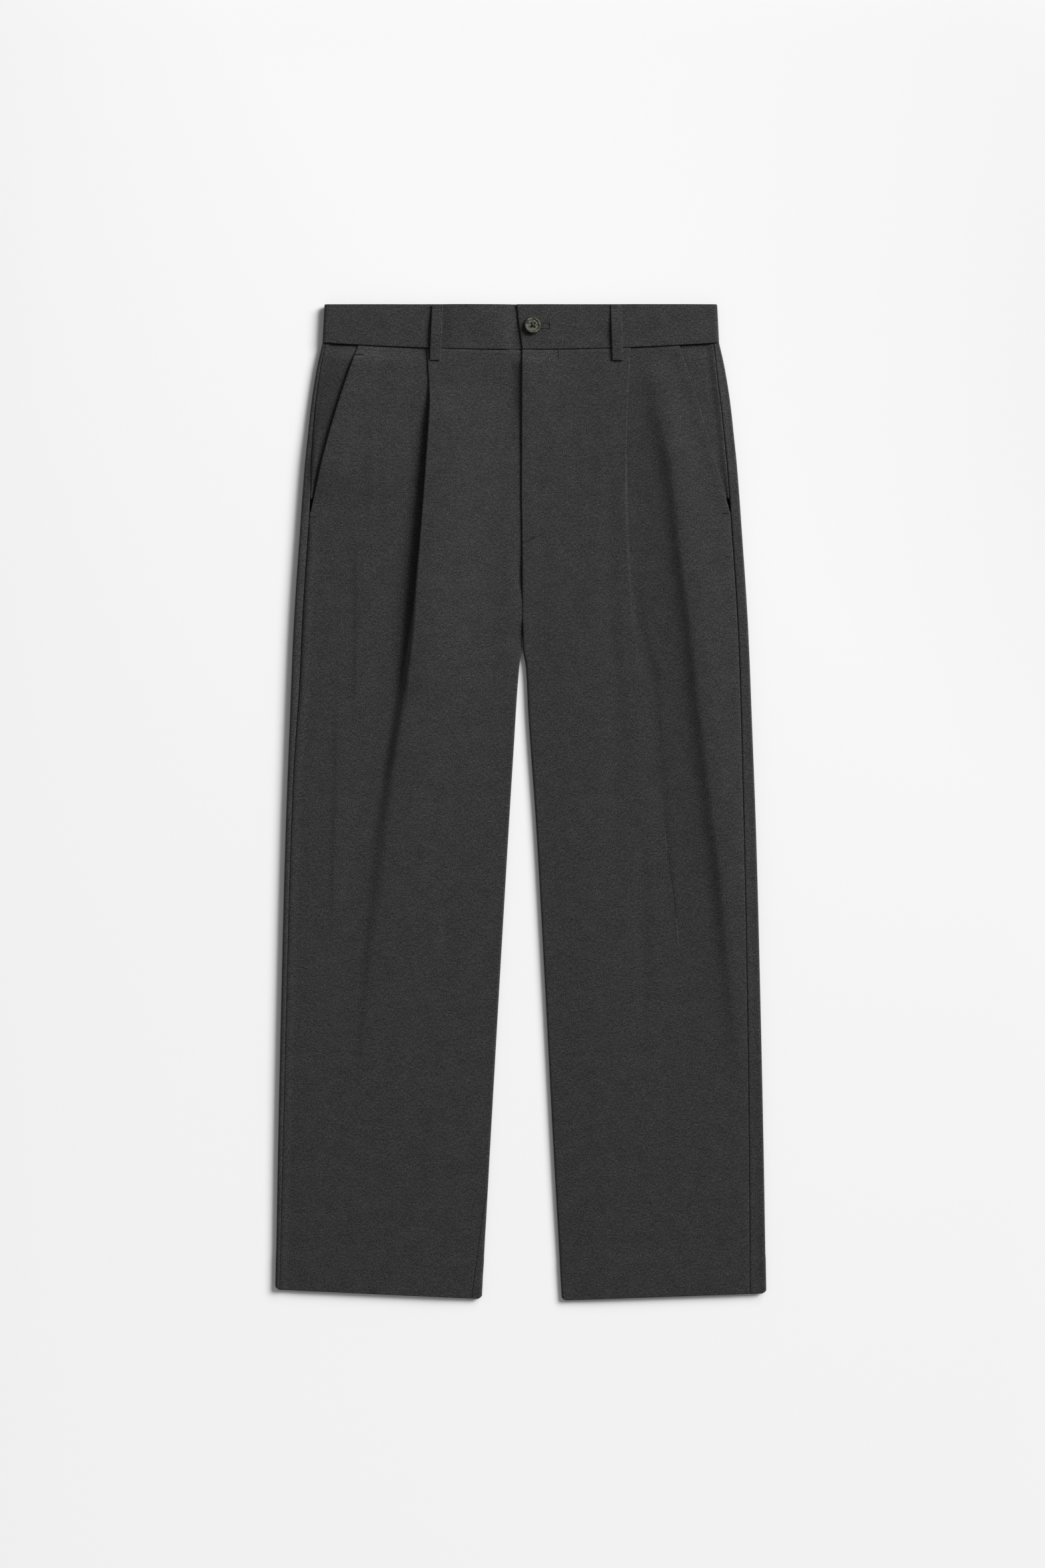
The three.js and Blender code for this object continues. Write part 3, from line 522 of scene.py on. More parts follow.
def wall_mesh(name, middle, thickness, warp_column=None):
    """A closed wall round a grid of middle points, of shape (rows, columns, 3).

    The two faces are m + n t/2 and m - n t/2. Within half a thickness of a border t falls as
    T sqrt(1 - (1 - 2d/T)^2). The warp runs along warp_column, and the map's u is the distance across from it.
    """
    rows, columns = middle.shape[:2]
    normal = unit(np.cross(np.gradient(middle, axis=1), np.gradient(middle, axis=0)))
    across, along = run(middle, 1), run(middle, 0)
    border = np.minimum(np.minimum(across, across[:, -1:] - across), np.minimum(along, along[-1:] - along))
    thickness = np.broadcast_to(thickness, border.shape)
    nose = np.sqrt(1 - (1 - np.clip(2 * border / thickness, 0.02, 1)) ** 2)
    half = normal * (thickness * nose / 2)[..., None]
    points = np.concatenate([(middle + half).reshape(-1, 3), (middle - half).reshape(-1, 3)])

    index = np.arange(rows * columns).reshape(rows, columns)
    under = index + rows * columns

    def quads(a, b, c, d):
        return np.stack([a, b, c, d], axis=-1).reshape(-1, 4)

    faces = np.concatenate(
        [
            quads(index[:-1, :-1], index[:-1, 1:], index[1:, 1:], index[1:, :-1]),
            quads(under[:-1, :-1], under[1:, :-1], under[1:, 1:], under[:-1, 1:]),
            quads(index[0, 1:], index[0, :-1], under[0, :-1], under[0, 1:]),
            quads(index[-1, :-1], index[-1, 1:], under[-1, 1:], under[-1, :-1]),
            quads(index[:-1, 0], index[1:, 0], under[1:, 0], under[:-1, 0]),
            quads(index[1:, -1], index[:-1, -1], under[:-1, -1], under[1:, -1]),
        ]
    )
    a, b, c, d = (points[faces[:, i]] for i in range(4))
    volume = np.sum(a * np.cross(b, c)) + np.sum(a * np.cross(c, d))
    if volume < 0:
        faces = faces[:, ::-1]

    warp = columns // 2 if warp_column is None else warp_column
    column = slice(warp, warp + 1)
    flat = np.stack([across - across[:, column], np.broadcast_to(along[:, column], border.shape)], -1)
    flat[..., 0] += middle[0, warp, 0]
    flat = np.tile(flat.reshape(-1, 2), (2, 1)) * MM
    return make_object(name, points, faces, flat)


def make_object(name, points, faces, flat=None):
    """A smooth mesh object from points in millimetres and quads, riding on the part's one body."""
    mesh = bpy.data.meshes.new(name)
    mesh.vertices.add(len(points))
    mesh.vertices.foreach_set("co", (points * MM).astype(np.float32).ravel())
    mesh.loops.add(faces.size)
    mesh.loops.foreach_set("vertex_index", faces.astype(np.int32).ravel())
    mesh.polygons.add(len(faces))
    mesh.polygons.foreach_set("loop_start", np.arange(0, faces.size, 4, dtype=np.int32))
    mesh.update(calc_edges=True)
    mesh.polygons.foreach_set("use_smooth", np.ones(len(faces), bool))
    if flat is not None:
        corners = flat[faces.ravel()].astype(np.float32)
        mesh.uv_layers.new(name="cloth").data.foreach_set("uv", corners.ravel())
    mesh.validate()
    piece = bpy.data.objects.new(name, mesh)
    bpy.context.collection.objects.link(piece)
    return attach(piece, "root")


def finish_cloth(piece, middle, node):
    """Hides the imported part that a piece stands in for; the middle surface's runs across and along go
    unused.
    """
    across, along = run(middle, 1), run(middle, 0)
    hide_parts(node)
    return piece


# %% [markdown]
# ## Stations
#
# A grid needs most points where the cloth bends most: at a fold, along a pleat and in the last millimetre
# before an edge. Elsewhere it can be open. The grid's rows run across the garment, and they are closer
# together from the waist to the fork, where the pleats, pockets and fly are.


# %% Stations down the garment and across a panel
def spaced(start, end, count, edge_start=(), edge_end=()):
    """Numbers from start to end: evenly spaced, with set distances added next to either end."""
    direction = np.sign(end - start)
    inner_start = start + direction * (edge_start[-1] if edge_start else 0)
    inner_end = end - direction * (edge_end[-1] if edge_end else 0)
    middle = np.linspace(inner_start, inner_end, count)
    first = [start + direction * step for step in (0, *edge_start[:-1])] if edge_start else []
    last = [end - direction * step for step in (*edge_end[:-1][::-1], 0)] if edge_end else []
    return np.array([*first, *middle, *last])


EDGE = (0.12, 0.3, 0.6, 1.1, 1.8, 2.8)  # distances from a panel's edge
TUCK = 0.9  # how far the body runs up under the waistband's edge
HIP = 250  # above this level the rows are close
stations = np.concatenate([spaced(WAIST_SEAM + TUCK, HIP, 96, EDGE), spaced(HIP, HEM, 205, (), EDGE)[1:]])
stations = stations[:, None]
HEM_TURN = 40  # the hem allowance that is turned up inside
HEM_EXTRA = 0.5  # how much thicker the cloth is there


def hem_extra(y):
    """What the turned-up hem adds to the thickness."""
    return HEM_EXTRA * ease((HEM + HEM_TURN - y) / 3)


def edge_shift(half, across, y):
    """How far the top and hem edges leave their level stations: the waist seam sags, the hem slants."""
    width = level("width", y)
    seam = SEAM_SAG * ((across / width) ** 2 - 1) * ease((y - SAG_FOOT) / (WAIST_SEAM - SAG_FOOT))
    inner = at(half["inner"], "across", y)
    inside = width - across
    between = inside / (width - inner)
    nearest = np.maximum(0, np.minimum(inside, across - inner))
    corner = HEM_ROUND * np.maximum(0, 1 - nearest / HEM_CORNER) ** 2
    outer_hem, inner_hem = half["hem"]
    hem = mix(outer_hem, inner_hem, between) + corner - HEM
    return seam + hem * ease((SLANT_TOP - y) / (SLANT_TOP - HEM))


def laid(half, across, y, height):
    """A grid in the garment's own x, y and z, with its edges shifted to their lines."""
    y = y + edge_shift(half, across, y)
    return np.stack([half["sign"] * across, np.broadcast_to(y, across.shape), height], axis=-1)


SEAM_ROLL = 1.5  # reach of the round where a panel turns into a seam
SEAM_SINK = 1.1  # how deep it turns
WAIST_SINK, WAIST_ROLL = 2.2, 1.8  # the same for the body under the waistband


def seam_sink(distance):
    """How far a panel has turned down at a distance from its seam: part of a quarter circle."""
    u = np.clip(1 - distance / SEAM_ROLL, 0, 1)
    return SEAM_SINK * (1 - np.sqrt(1 - u * u * 0.98))


def waist_sink(y):
    """How far the body has turned down on its way under the waistband's edge."""
    return WAIST_SINK * ease((y - (WAIST_SEAM - WAIST_ROLL)) / (WAIST_ROLL + 0.3))


print(len(stations), "stations from", float(stations[0, 0]), "to", float(stations[-1, 0]))

# %% [markdown]
# ## The fronts
#
# Each front is one piece of cloth. It comes round the inner fold of the leg, crosses to the pleat, doubles
# back on itself there, and goes on to the pocket mouth and the side seam. The grid's columns follow it on
# that way, so the pleat is a real fold with its own under layer, and not a line that is drawn on. The pleat
# lets go down the leg, so its two bends open until they are only a slope.


# %% Fronts
CREST_NEAR, CREST_FAR = 9, 7  # the columns are close from here to here, on either side of a fold's crest
MOUTH_TURN, FLY_TURN = 0.7, 0.9  # how much thicker the cloth is where it is turned in there
FLY_SEWN = 262  # below this level the two fronts are sewn together


def front_grid(half, y):
    """Middle surface of a front, from the inner seam or the fly over the pleat to the outer edge."""

    def face(across):
        return face_height(half, across, y) + mouth_gape(half, across, y) - CLOTH / 2

    quarter = quarter_roll("inner_roll", y)
    begin = mix(quarter, inseam_reach(half, y) + GAP / 2, leg_share(y))
    end = np.maximum(begin, quarter) + 5
    reach = begin + (end - begin) * spaced(0, 1, 9, (0.02, 0.05, 0.1, 0.18))
    fold_x, fold_z = rolled(y, reach, inner_centre(half, y), "inner_roll", -1, face)

    pleat = pleat_bends(half, y)
    start = pleat["start"]
    u = spaced(0, 1, 30, (), (0.005, 0.015, 0.03, 0.05, 0.075, 0.105, 0.14, 0.18))[1:-1]
    upper_x = mix(fold_x[:, -1:], start, u)
    near_lip = ease(1 - (start - pleat["folded"] - 4 - upper_x) / PLEAT_SPREAD["upper"])
    upper_z = face(upper_x) + pleat["raise"] * near_lip

    bends_x = start + pleat["x"]
    bends_z = face(start) + pleat["raise"] + pleat["z"]

    clear = np.maximum(bends_x[:, -1:], start) + 3
    hidden_x = mix(bends_x[:, -1:], clear, np.linspace(0, 1, 5)[1:-1])
    edge = front_edge(half, y)
    crest = at(LONG_FOLDS[0], "x", y) if half is LEFT else mix(clear, edge, 0.5)
    crest = np.clip(crest, clear + 12, edge - 12)
    open_x = np.hstack(
        [
            mix(clear, crest - CREST_NEAR, np.linspace(0, 1, 16)[:-1]),
            mix(crest - CREST_NEAR, crest + CREST_FAR, np.linspace(0, 1, 17)[:-1]),
            mix(crest + CREST_FAR, edge - EDGE[-1], np.linspace(0, 1, 18)[:-1]),
            edge - np.array([*EDGE[::-1], 0]),
        ]
    )
    lower_x = np.hstack([hidden_x, open_x])
    lower_z = face(lower_x) - pleat["sink"] * ease(1 - (lower_x - clear) / PLEAT_SPREAD["lower"])
    lower_z = lower_z - np.where(y < POCKET_FOOT, seam_sink(edge - lower_x), 0)

    across = np.hstack([fold_x, upper_x, bends_x, lower_x])
    height = np.hstack([fold_z, upper_z, bends_z, lower_z])
    sewn = (1 - ease((y - FLY_SEWN) / 30)) * (1 - leg_share(y))
    height[:, : reach.shape[1]] -= seam_sink(reach - begin) * sewn
    height -= waist_sink(y)
    return laid(half, across, y, height), reach.shape[1]


def turned_edge(half, middle, y, turned_at_fly):
    """Thickness of a front: doubled where the hem, the fly and the pocket mouth are turned in."""
    across = half["sign"] * middle[..., 0]
    to_mouth = np.where(y > POCKET_FOOT, front_edge(half, y) - across, 99)
    mouth = MOUTH_TURN * (1 - ease((to_mouth - 5) / 6))
    to_fly = across - at(half["inner"], "across", y)
    fly = FLY_TURN * (1 - ease((to_fly - 6) / 10)) * ease((y - 280) / 20)
    return CLOTH + hem_extra(y) + mouth + (fly if turned_at_fly else 0)


fronts = {}
for side, half in (("right", RIGHT), ("left", LEFT)):
    middle, fold_columns = front_grid(half, stations)
    thickness = turned_edge(half, middle, stations, side == "left")
    piece = wall_mesh(f"front_{side}_cloth", middle, thickness, fold_columns + 18)
    fronts[side] = finish_cloth(piece, middle, f"front_{side}")

# %% [markdown]
# ## The backs
#
# A back is wider than a front. It starts at the inner seam, runs under the whole half, rolls over at the side
# and ends on top, where a narrow strip of it shows beside the side seam. Its underside rests on the floor, so
# its creases only lift off the floor and never press into it.

# %% Creases of the underside, in the garment's own x and y, as heights off the floor
BACK_CREASES = table(
    "y0 x0 y1 x1 bow height left right",
    (462, -118, 330, -106, 4, 1.2, 7, 12),
    (455, 112, 300, 100, -4, 1.4, 12, 7),
    (420, -40, 210, -20, 6, 1.1, 9, 14),
    (400, 52, 190, 24, -5, 1.3, 14, 9),
    (250, -14, 150, -70, 8, 1.6, 8, 12),
    (245, 14, 140, 66, -8, 1.5, 12, 8),
    (190, -150, -40, -168, 5, 1.2, 8, 16),
    (150, 160, -90, 176, -6, 1.3, 16, 8),
    (60, -90, -60, -214, 10, 0.8, 10, 10),
    (30, 84, -80, 205, -9, 0.9, 10, 10),
    (-60, -112, -330, -134, 5, 1.1, 9, 15),
    (-110, 118, -360, 146, -6, 1.0, 15, 9),
    (-250, -190, -470, -200, 3, 0.7, 8, 10),
    (-230, 196, -450, 212, -3, 0.8, 10, 8),
)


# %% Backs
def back_grid(half, y):
    """Middle surface of a back, from the inner seam under the half and round the side to the side seam."""

    def face(across):
        return face_height(half, across, y) - CLOTH / 2

    quarter = quarter_roll("inner_roll", y)
    begin = mix(-quarter, inseam_reach(half, y) - GAP / 2, leg_share(y))
    reach = begin + (-quarter - 5 - begin) * spaced(0, 1, 10, (0.01, 0.03, 0.06, 0.1))
    centre = inner_centre(half, y, is_back=True)
    inner_x, inner_z = rolled(y, reach, centre, "inner_roll", -1, face)

    side_centre = level("width", y) - level("side_roll", y) / 2
    side_quarter = quarter_roll("side_roll", y)
    under_x = mix(inner_x[:, -1:], side_centre, np.linspace(0, 1, 62)[1:-1])
    under_z = np.broadcast_to(level("lift", y) + CLOTH / 2, under_x.shape)
    from_folds = np.minimum(under_x - inner_x[:, -1:], side_centre - under_x)
    lifted = creased(BACK_CREASES, half["sign"] * under_x, y)
    under_z = under_z + lifted * ease(from_folds / 15) * ease((455 - y) / 30)

    side_x, side_z = rolled(y, side_quarter * np.linspace(-1, 1, 13), side_centre, "side_roll", 1, face)
    over = side_centre - side_seam(half, y)
    top_reach = side_quarter + over * spaced(0, 1, 6, (), (0.012, 0.03, 0.06, 0.11, 0.18, 0.28))[1:]
    top_x, top_z = rolled(y, top_reach, side_centre, "side_roll", 1, face)
    top_z = top_z - seam_sink(side_quarter + over - top_reach)
    top_z = top_z + half["fold"]["strip"] * ease((top_reach - side_quarter) / over)

    across = np.hstack([inner_x, under_x, side_x, top_x])
    height = np.hstack([inner_z, under_z, side_z, top_z])
    height = height + hem_extra(y) / 2 * (1 - ease((height - CLOTH) / 3))  # the hem still rests on the floor
    return laid(half, across, y, height)


backs = {}
last = len(stations)
rows = np.r_[0:8, 8 : last - 8 : 2, last - 8 : last]  # the underside is plain, so every second row will do
for side, half in (("right", RIGHT), ("left", LEFT)):
    y = stations[rows]
    middle = back_grid(half, y)
    piece = wall_mesh(f"back_{side}_cloth", middle, CLOTH + hem_extra(y), 40)
    backs[side] = finish_cloth(piece, middle, f"back_{side}")

# %% [markdown]
# ## Pocket facings
#
# Behind each slanted pocket mouth a piece of the same cloth fills the opening. It is sewn in with the side
# seam and dips under the front's edge. The right pocket gapes a little, so its facing lies in shadow.


# %% Pocket facings
FACING_FOOT = 318
FACING_SINK = 1.9  # how far a facing sinks to pass under the front
FACING_UNDER = 22  # how far it runs on there


def facing_grid(half, y):
    """Middle surface of a facing, from the side seam, sinking under the front before the mouth."""
    begin, mouth = side_seam(half, y), mouth_line(half, y)
    slope = np.minimum(8, (begin - mouth) * 0.75)
    u = spaced(0, 1, 30, (0.004, 0.01, 0.02, 0.035, 0.05))
    across = mix(begin, mouth - FACING_UNDER, u)
    sink = FACING_SINK * ease((begin - across) / slope)
    height = face_height(half, across, y) - sink - CLOTH / 2 - seam_sink(begin - across)
    return laid(half, across, y, height - waist_sink(y))


facings = {}
for side, half in (("right", RIGHT), ("left", LEFT)):
    y = spaced(WAIST_SEAM + TUCK, FACING_FOOT, 70, EDGE)[:, None]
    middle = facing_grid(half, y)
    piece = wall_mesh(f"pocket_facing_{side}_cloth", middle, CLOTH, 30)
    facings[side] = finish_cloth(piece, middle, f"pocket_facing_{side}")

# %% [markdown]
# ## The waistband
#
# The band is a stiff strip, folded along its top edge. It is made in two halves that meet at the centre back.
# At the front the left half laps over the right, which runs on under it as a tab. A stiff band keeps a larger
# roll at the sides than the cloth does, and its top edge does not lie level: it stands up a little in places.

# %% Waistband
UNDER, BAND_FACE, BAND_ROLL = 1.5, 9.0, 7.2  # heights of the under side, of the face, and of the roll
TOP_WIDTH, SEAM_WIDTH, BAND_SPREAD = 206, 208, 40
BAND_END_LEFT = table("y across", (482, 1.7), (495, -0.4), (503, -1.8), (522, -4.2))
BAND_TAB = 35  # how far the right half runs on under the left
BAND_PULL = 0.12
# Where the band stands up along its top edge: the middle, the reach to either side, and the height.
BAND_RISES = {-1: ((58, 30, 1.3), (150, 20, 0.3)), 1: ((146, 46, 1.0), (30, 12, 0.5))}
LOOP_DENT = {"across": 82.5, "reach": 5.5, "depth": 0.8}  # beside the right front loop


def band_width(y):
    """Across to the band's side fold."""
    return mix(SEAM_WIDTH, TOP_WIDTH, (y - WAIST_SEAM) / (WAIST_TOP - WAIST_SEAM))


def band_height(across, y):
    """Height of the band's face, which comes down to its roll at the side."""
    low = UNDER + BAND_ROLL
    return low + (BAND_FACE - low) * ease((band_width(y) - BAND_ROLL / 2 - across) / BAND_SPREAD)


def band_rise(half, across, y):
    """How far the band's face leaves that: a faint pull all over, and places where its top stands up."""
    pull = BAND_PULL * np.sin(across / 9.0 + y / 21) * np.sin(across / 23.0 + 1.3)
    total = pull * ease((y - WAIST_SEAM) / 3) * ease((WAIST_TOP - y) / 8)
    for centre, reach, height in BAND_RISES[half["sign"]]:
        total = total + height * np.exp(-(((across - centre) / reach) ** 4)) * ease((y - 492) / 22)
    return total


def band_grid(half, y):
    """Middle surface of half the band, from the front end over the face and round to the centre back."""
    radius = (BAND_ROLL - BAND) / 2
    centre = band_width(y) - BAND_ROLL / 2
    end = np.full_like(y, -BAND_TAB) if half is RIGHT else at(BAND_END_LEFT, "across", y)
    edge = np.array([0, 0.15, 0.35, 0.6, 0.9, 1.4, 2.2])
    face_x = np.hstack([end + edge, mix(end + 3.5, centre, np.linspace(0, 1, 90)[:-1])])
    sink = (BAND + 0.4) * (1 - ease((face_x - 5) / 14)) if half is RIGHT else 0
    face_z = band_height(face_x, y) - BAND / 2 - sink
    face_z = face_z + band_rise(half, face_x, y)
    if half is RIGHT:
        off = (face_x - LOOP_DENT["across"]) / LOOP_DENT["reach"]
        face_z = face_z - LOOP_DENT["depth"] * np.exp(-(off**2))
    angle = np.linspace(np.pi / 2, -np.pi / 2, 17)
    fold_x = centre + radius * np.cos(angle)
    fold_z = UNDER + BAND_ROLL / 2 + radius * np.sin(angle) + 0 * y
    under_x = mix(centre, 0.1, spaced(0, 1, 30, (), (0.001, 0.002, 0.004, 0.007))[1:])
    under_z = np.full_like(under_x, UNDER + BAND / 2)
    across = np.hstack([face_x, fold_x, under_x])
    height = np.hstack([face_z, fold_z, under_z])
    share = (WAIST_TOP - y) / (WAIST_TOP - WAIST_SEAM)
    level_y = y + SEAM_SAG * ((across / SEAM_WIDTH) ** 2 - 1) * share
    return np.stack([half["sign"] * across, level_y, height], axis=-1)


bands = {}
BAND_EDGE = (0.1, 0.3, 0.6, 0.9, 1.5)
for side, half in (("right", RIGHT), ("left", LEFT)):
    y = spaced(WAIST_TOP, WAIST_SEAM - 0.2, 22, BAND_EDGE, BAND_EDGE)[:, None]
    middle = band_grid(half, y)
    piece = wall_mesh(f"waistband_{side}_cloth", middle, BAND)
    bands[side] = finish_cloth(piece, middle, f"waistband_{side}")

# %% [markdown]
# ## Belt loops
#
# A loop is a narrow strip of doubled cloth, a little crowned, whose ends are turned under and stitched down.
# The two at the front lie across the tops of the pleats, and arch up between their ends. The three at the
# back are pressed flat between the band and the floor.

# %% Belt loops
LOOP_WIDTH, LOOP_WALL, LOOP_TOP, LOOP_FOOT = 11.5, 1.2, 521.3, 463
LOOP_ARCH, LOOP_CROWN = 1.4, 0.3
LOOP_ENDS, LOOP_SIDES = (0.1, 0.3, 0.6, 1.0), (0.02, 0.05, 0.1, 0.18)
FRONT_LOOPS = {"right": (RIGHT, 87.2, 89.8), "left": (LEFT, 99.8, 101.6)}  # across at the top and the foot
BACK_LOOPS = {"right": -150, "left": 150, "centre": 0}


def loop_grid(top_x, foot_x, rest, arch, crown):
    """Middle surface of a loop: it arches as a squared sine along, and is crowned as a parabola across. Its
    upper stitches pull it down in a narrow bell."""
    y = spaced(LOOP_TOP, LOOP_FOOT, 40, LOOP_ENDS, LOOP_ENDS)[:, None]
    u = (LOOP_TOP - y) / (LOOP_TOP - LOOP_FOOT)
    v = spaced(-1, 1, 11, LOOP_SIDES, LOOP_SIDES)
    x = mix(top_x, foot_x, u) + v * LOOP_WIDTH / 2
    sewn = 0.25 * arch * np.exp(-((u - 0.07) / 0.02) ** 2)
    height = rest + LOOP_WALL / 2 + arch * np.sin(np.pi * u) ** 2 + crown * (1 - v * v) - sewn
    return np.stack([x, np.broadcast_to(y, x.shape), height + 0 * x], axis=-1)


def loop_rest(half, foot):
    """Height that a front loop rests at: on the band or on its pleat, whichever is higher."""
    y = np.array([[LOOP_FOOT]], float)
    pleat_top = face_height(half, foot, y) + pleat_bends(half, y)["raise"]
    return float(max(BAND_FACE, pleat_top.item())) + 1.3 * GAP


loops = {}
for side, (half, top, foot) in FRONT_LOOPS.items():
    ends, name = (half["sign"] * top, half["sign"] * foot), f"belt_loop_front_{side}"
    middle = loop_grid(*ends, loop_rest(half, foot), LOOP_ARCH, LOOP_CROWN)
    piece = wall_mesh(f"{name}_cloth", middle, LOOP_WALL)
    loops[side] = finish_cloth(piece, middle, name)
for name, x in BACK_LOOPS.items():
    middle = loop_grid(x, x, 0.0, 0.0, 0.0)
    piece = wall_mesh(f"belt_loop_back_{name}_cloth", middle, LOOP_WALL)
    loops[f"back_{name}"] = finish_cloth(piece, middle, f"belt_loop_back_{name}")

# %% [markdown]
# ## Under the fly
#
# The closed fly hides its zip. Under the left front lies the zip's tape with its closed chain, and under that
# a shield of cloth keeps the chain off the shirt. Both follow the front from below.

# %% Zip and shield
ZIP = {"begin": 5, "end": 27, "top": 470, "foot": 300, "chain": 16.5}
ZIP_DROP, SHIELD_DROP = CLOTH + 2 * GAP + 0.7, 3.3  # how far under the face of the front they lie
SHIELD = {"begin": 4.3, "end": 40, "top": 474, "foot": 290}


def fly_grid(begin, end, top, foot, drop, rows=60, columns=25):
    """Middle surface of a strip that follows the left front, a set drop under its face, with a round foot."""
    u = spaced(0, 1, columns, (0.004, 0.01, 0.02), (0.004, 0.01, 0.02))
    y = spaced(top, foot, rows, (0.1, 0.3, 0.6), (0.1, 0.3, 0.6))[:, None]
    across = mix(begin, end, u) + 0 * y
    height = face_height(LEFT, across, y) + fly_dip(LEFT, across, y) - drop
    rounded = 4 * (2 * u - 1) ** 2 * ease((foot + 30 - y) / 30)
    return np.stack([across, y + rounded, height], axis=-1)


middle = fly_grid(ZIP["begin"], ZIP["end"], ZIP["top"], ZIP["foot"], ZIP_DROP, rows=560, columns=41)
from_chain = middle[..., 0] - ZIP["chain"]
chain = np.clip(1 - np.abs(from_chain) / 2.2, 0, 1)
teeth = 0.5 + 0.5 * np.cos(np.pi * 2 * middle[..., 1] / 1.5 + np.sign(from_chain) * 1.2)
zip_wall = 0.5 + 0.5 * ease(chain * 2) * (0.4 + 0.6 * teeth)  # the teeth are a thickening of the tape
zip_piece = wall_mesh("fly_zip_tape", middle, zip_wall)
finish_cloth(zip_piece, middle, "fly_zip")
middle = fly_grid(SHIELD["begin"], SHIELD["end"], SHIELD["top"], SHIELD["foot"], SHIELD_DROP)
shield = finish_cloth(wall_mesh("fly_shield_cloth", middle, CLOTH), middle, "fly_shield")

# %% [markdown]
# ## The button
#
# A trouser button has a raised rim, a dished middle and four holes. A lathe and four drills would make it in
# many steps. As a height over the disc it is one formula: the face on a polar grid, with the rim and the pits
# of the holes worked out from the distance to their centres. The back is the same grid with a chamfer. The
# button is sewn on a soft shank, so its outer edge stands up, as it does under a buttonhole that pulls on it.

# %% Button
BUTTON = {
    "across": 12.5, "y": 499.7, "radius": 8.9, "thickness": 2.4, "rim": 2.3, "dish": 0.8, "hole": 0.95,
    "spacing": 1.75, "tilt": 6.5, "towards": 210,
}


def button_face(radius, angle):
    """Height of the button's face: an edge rounded as a quarter ellipse, a rim, a dish and four pits."""
    x, y = radius * np.cos(angle), radius * np.sin(angle)
    edge = BUTTON["radius"] - radius
    round_edge = 1.5 * (1 - np.sqrt(1 - np.clip(1 - edge / 1.3, 0, 1) ** 2 * 0.999))
    dish = BUTTON["dish"] * ease((edge - BUTTON["rim"]) / 1.1)
    pits = np.zeros_like(x)
    for sx, sy in ((1, 1), (-1, 1), (-1, -1), (1, -1)):
        off = np.hypot(x - sx * BUTTON["spacing"], y - sy * BUTTON["spacing"])
        pits = np.maximum(pits, ease((BUTTON["hole"] + 0.15 - off) / 0.3))
    return BUTTON["thickness"] - round_edge - dish - pits * (BUTTON["thickness"] - dish - 0.15)


def place_on_button(points):
    """Turns points of a button lying at the origin into its place: its far edge stands up by the tilt."""
    tilt, towards = np.radians(BUTTON["tilt"]), np.radians(BUTTON["towards"])
    axis = np.array([np.sin(towards), -np.cos(towards), 0])
    cross = np.cross(axis, points)
    along = (points @ axis)[..., None] * axis
    turned = points * np.cos(tilt) + cross * np.sin(tilt) + along * (1 - np.cos(tilt))
    seat = BAND_FACE + GAP + (BUTTON["radius"] - 1.1) * np.sin(tilt)
    return turned + np.array([BUTTON["across"], BUTTON["y"], seat])


angle = np.linspace(0, 2 * np.pi, 120, endpoint=False)
face_r = [np.linspace(0.02, 4.2, 44), np.linspace(4.3, 8.2, 18), np.linspace(8.3, BUTTON["radius"], 10)]
face_r = np.concatenate(face_r)[:, None]
back_r = np.array([BUTTON["radius"], 8.75, 8.5, 8.1, 7.8, 4.0, 0.02])[:, None]
back_z = np.array([1.25, 0.8, 0.45, 0.12, 0.0, 0.0, 0.0])[:, None]  # a chamfer, then flat to the middle
radius = np.vstack([face_r, back_r])
height = np.vstack([button_face(face_r, angle), back_z + 0 * angle])
grid = np.stack([radius * np.cos(angle), radius * np.sin(angle), height], axis=-1)
index = np.arange(radius.size * angle.size).reshape(radius.size, angle.size)
after = np.roll(index, -1, axis=1)
faces = np.stack([index[:-1], index[1:], after[1:], after[:-1]], axis=-1).reshape(-1, 4)
button = make_object("waist_button_horn", place_on_button(grid).reshape(-1, 3), faces)
shape = bmesh.new()
shape.from_mesh(button.data)
bmesh.ops.remove_doubles(shape, verts=shape.verts, dist=0.03 * MM)
bmesh.ops.holes_fill(shape, edges=[e for e in shape.edges if e.is_boundary])
bmesh.ops.recalc_face_normals(shape, faces=shape.faces)
shape.to_mesh(button.data)
shape.free()
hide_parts("waist_button")
print("button", len(button.data.polygons), "faces")

# %% [markdown]
# ## Thread
#
# Stitches are the smallest real shapes here. Each is a short round thread, and all of them come from one
# function: it takes an array of lines, puts a ring of points round each point of each line, and joins the
# rings. Hundreds of stitches then cost a few thousand faces.


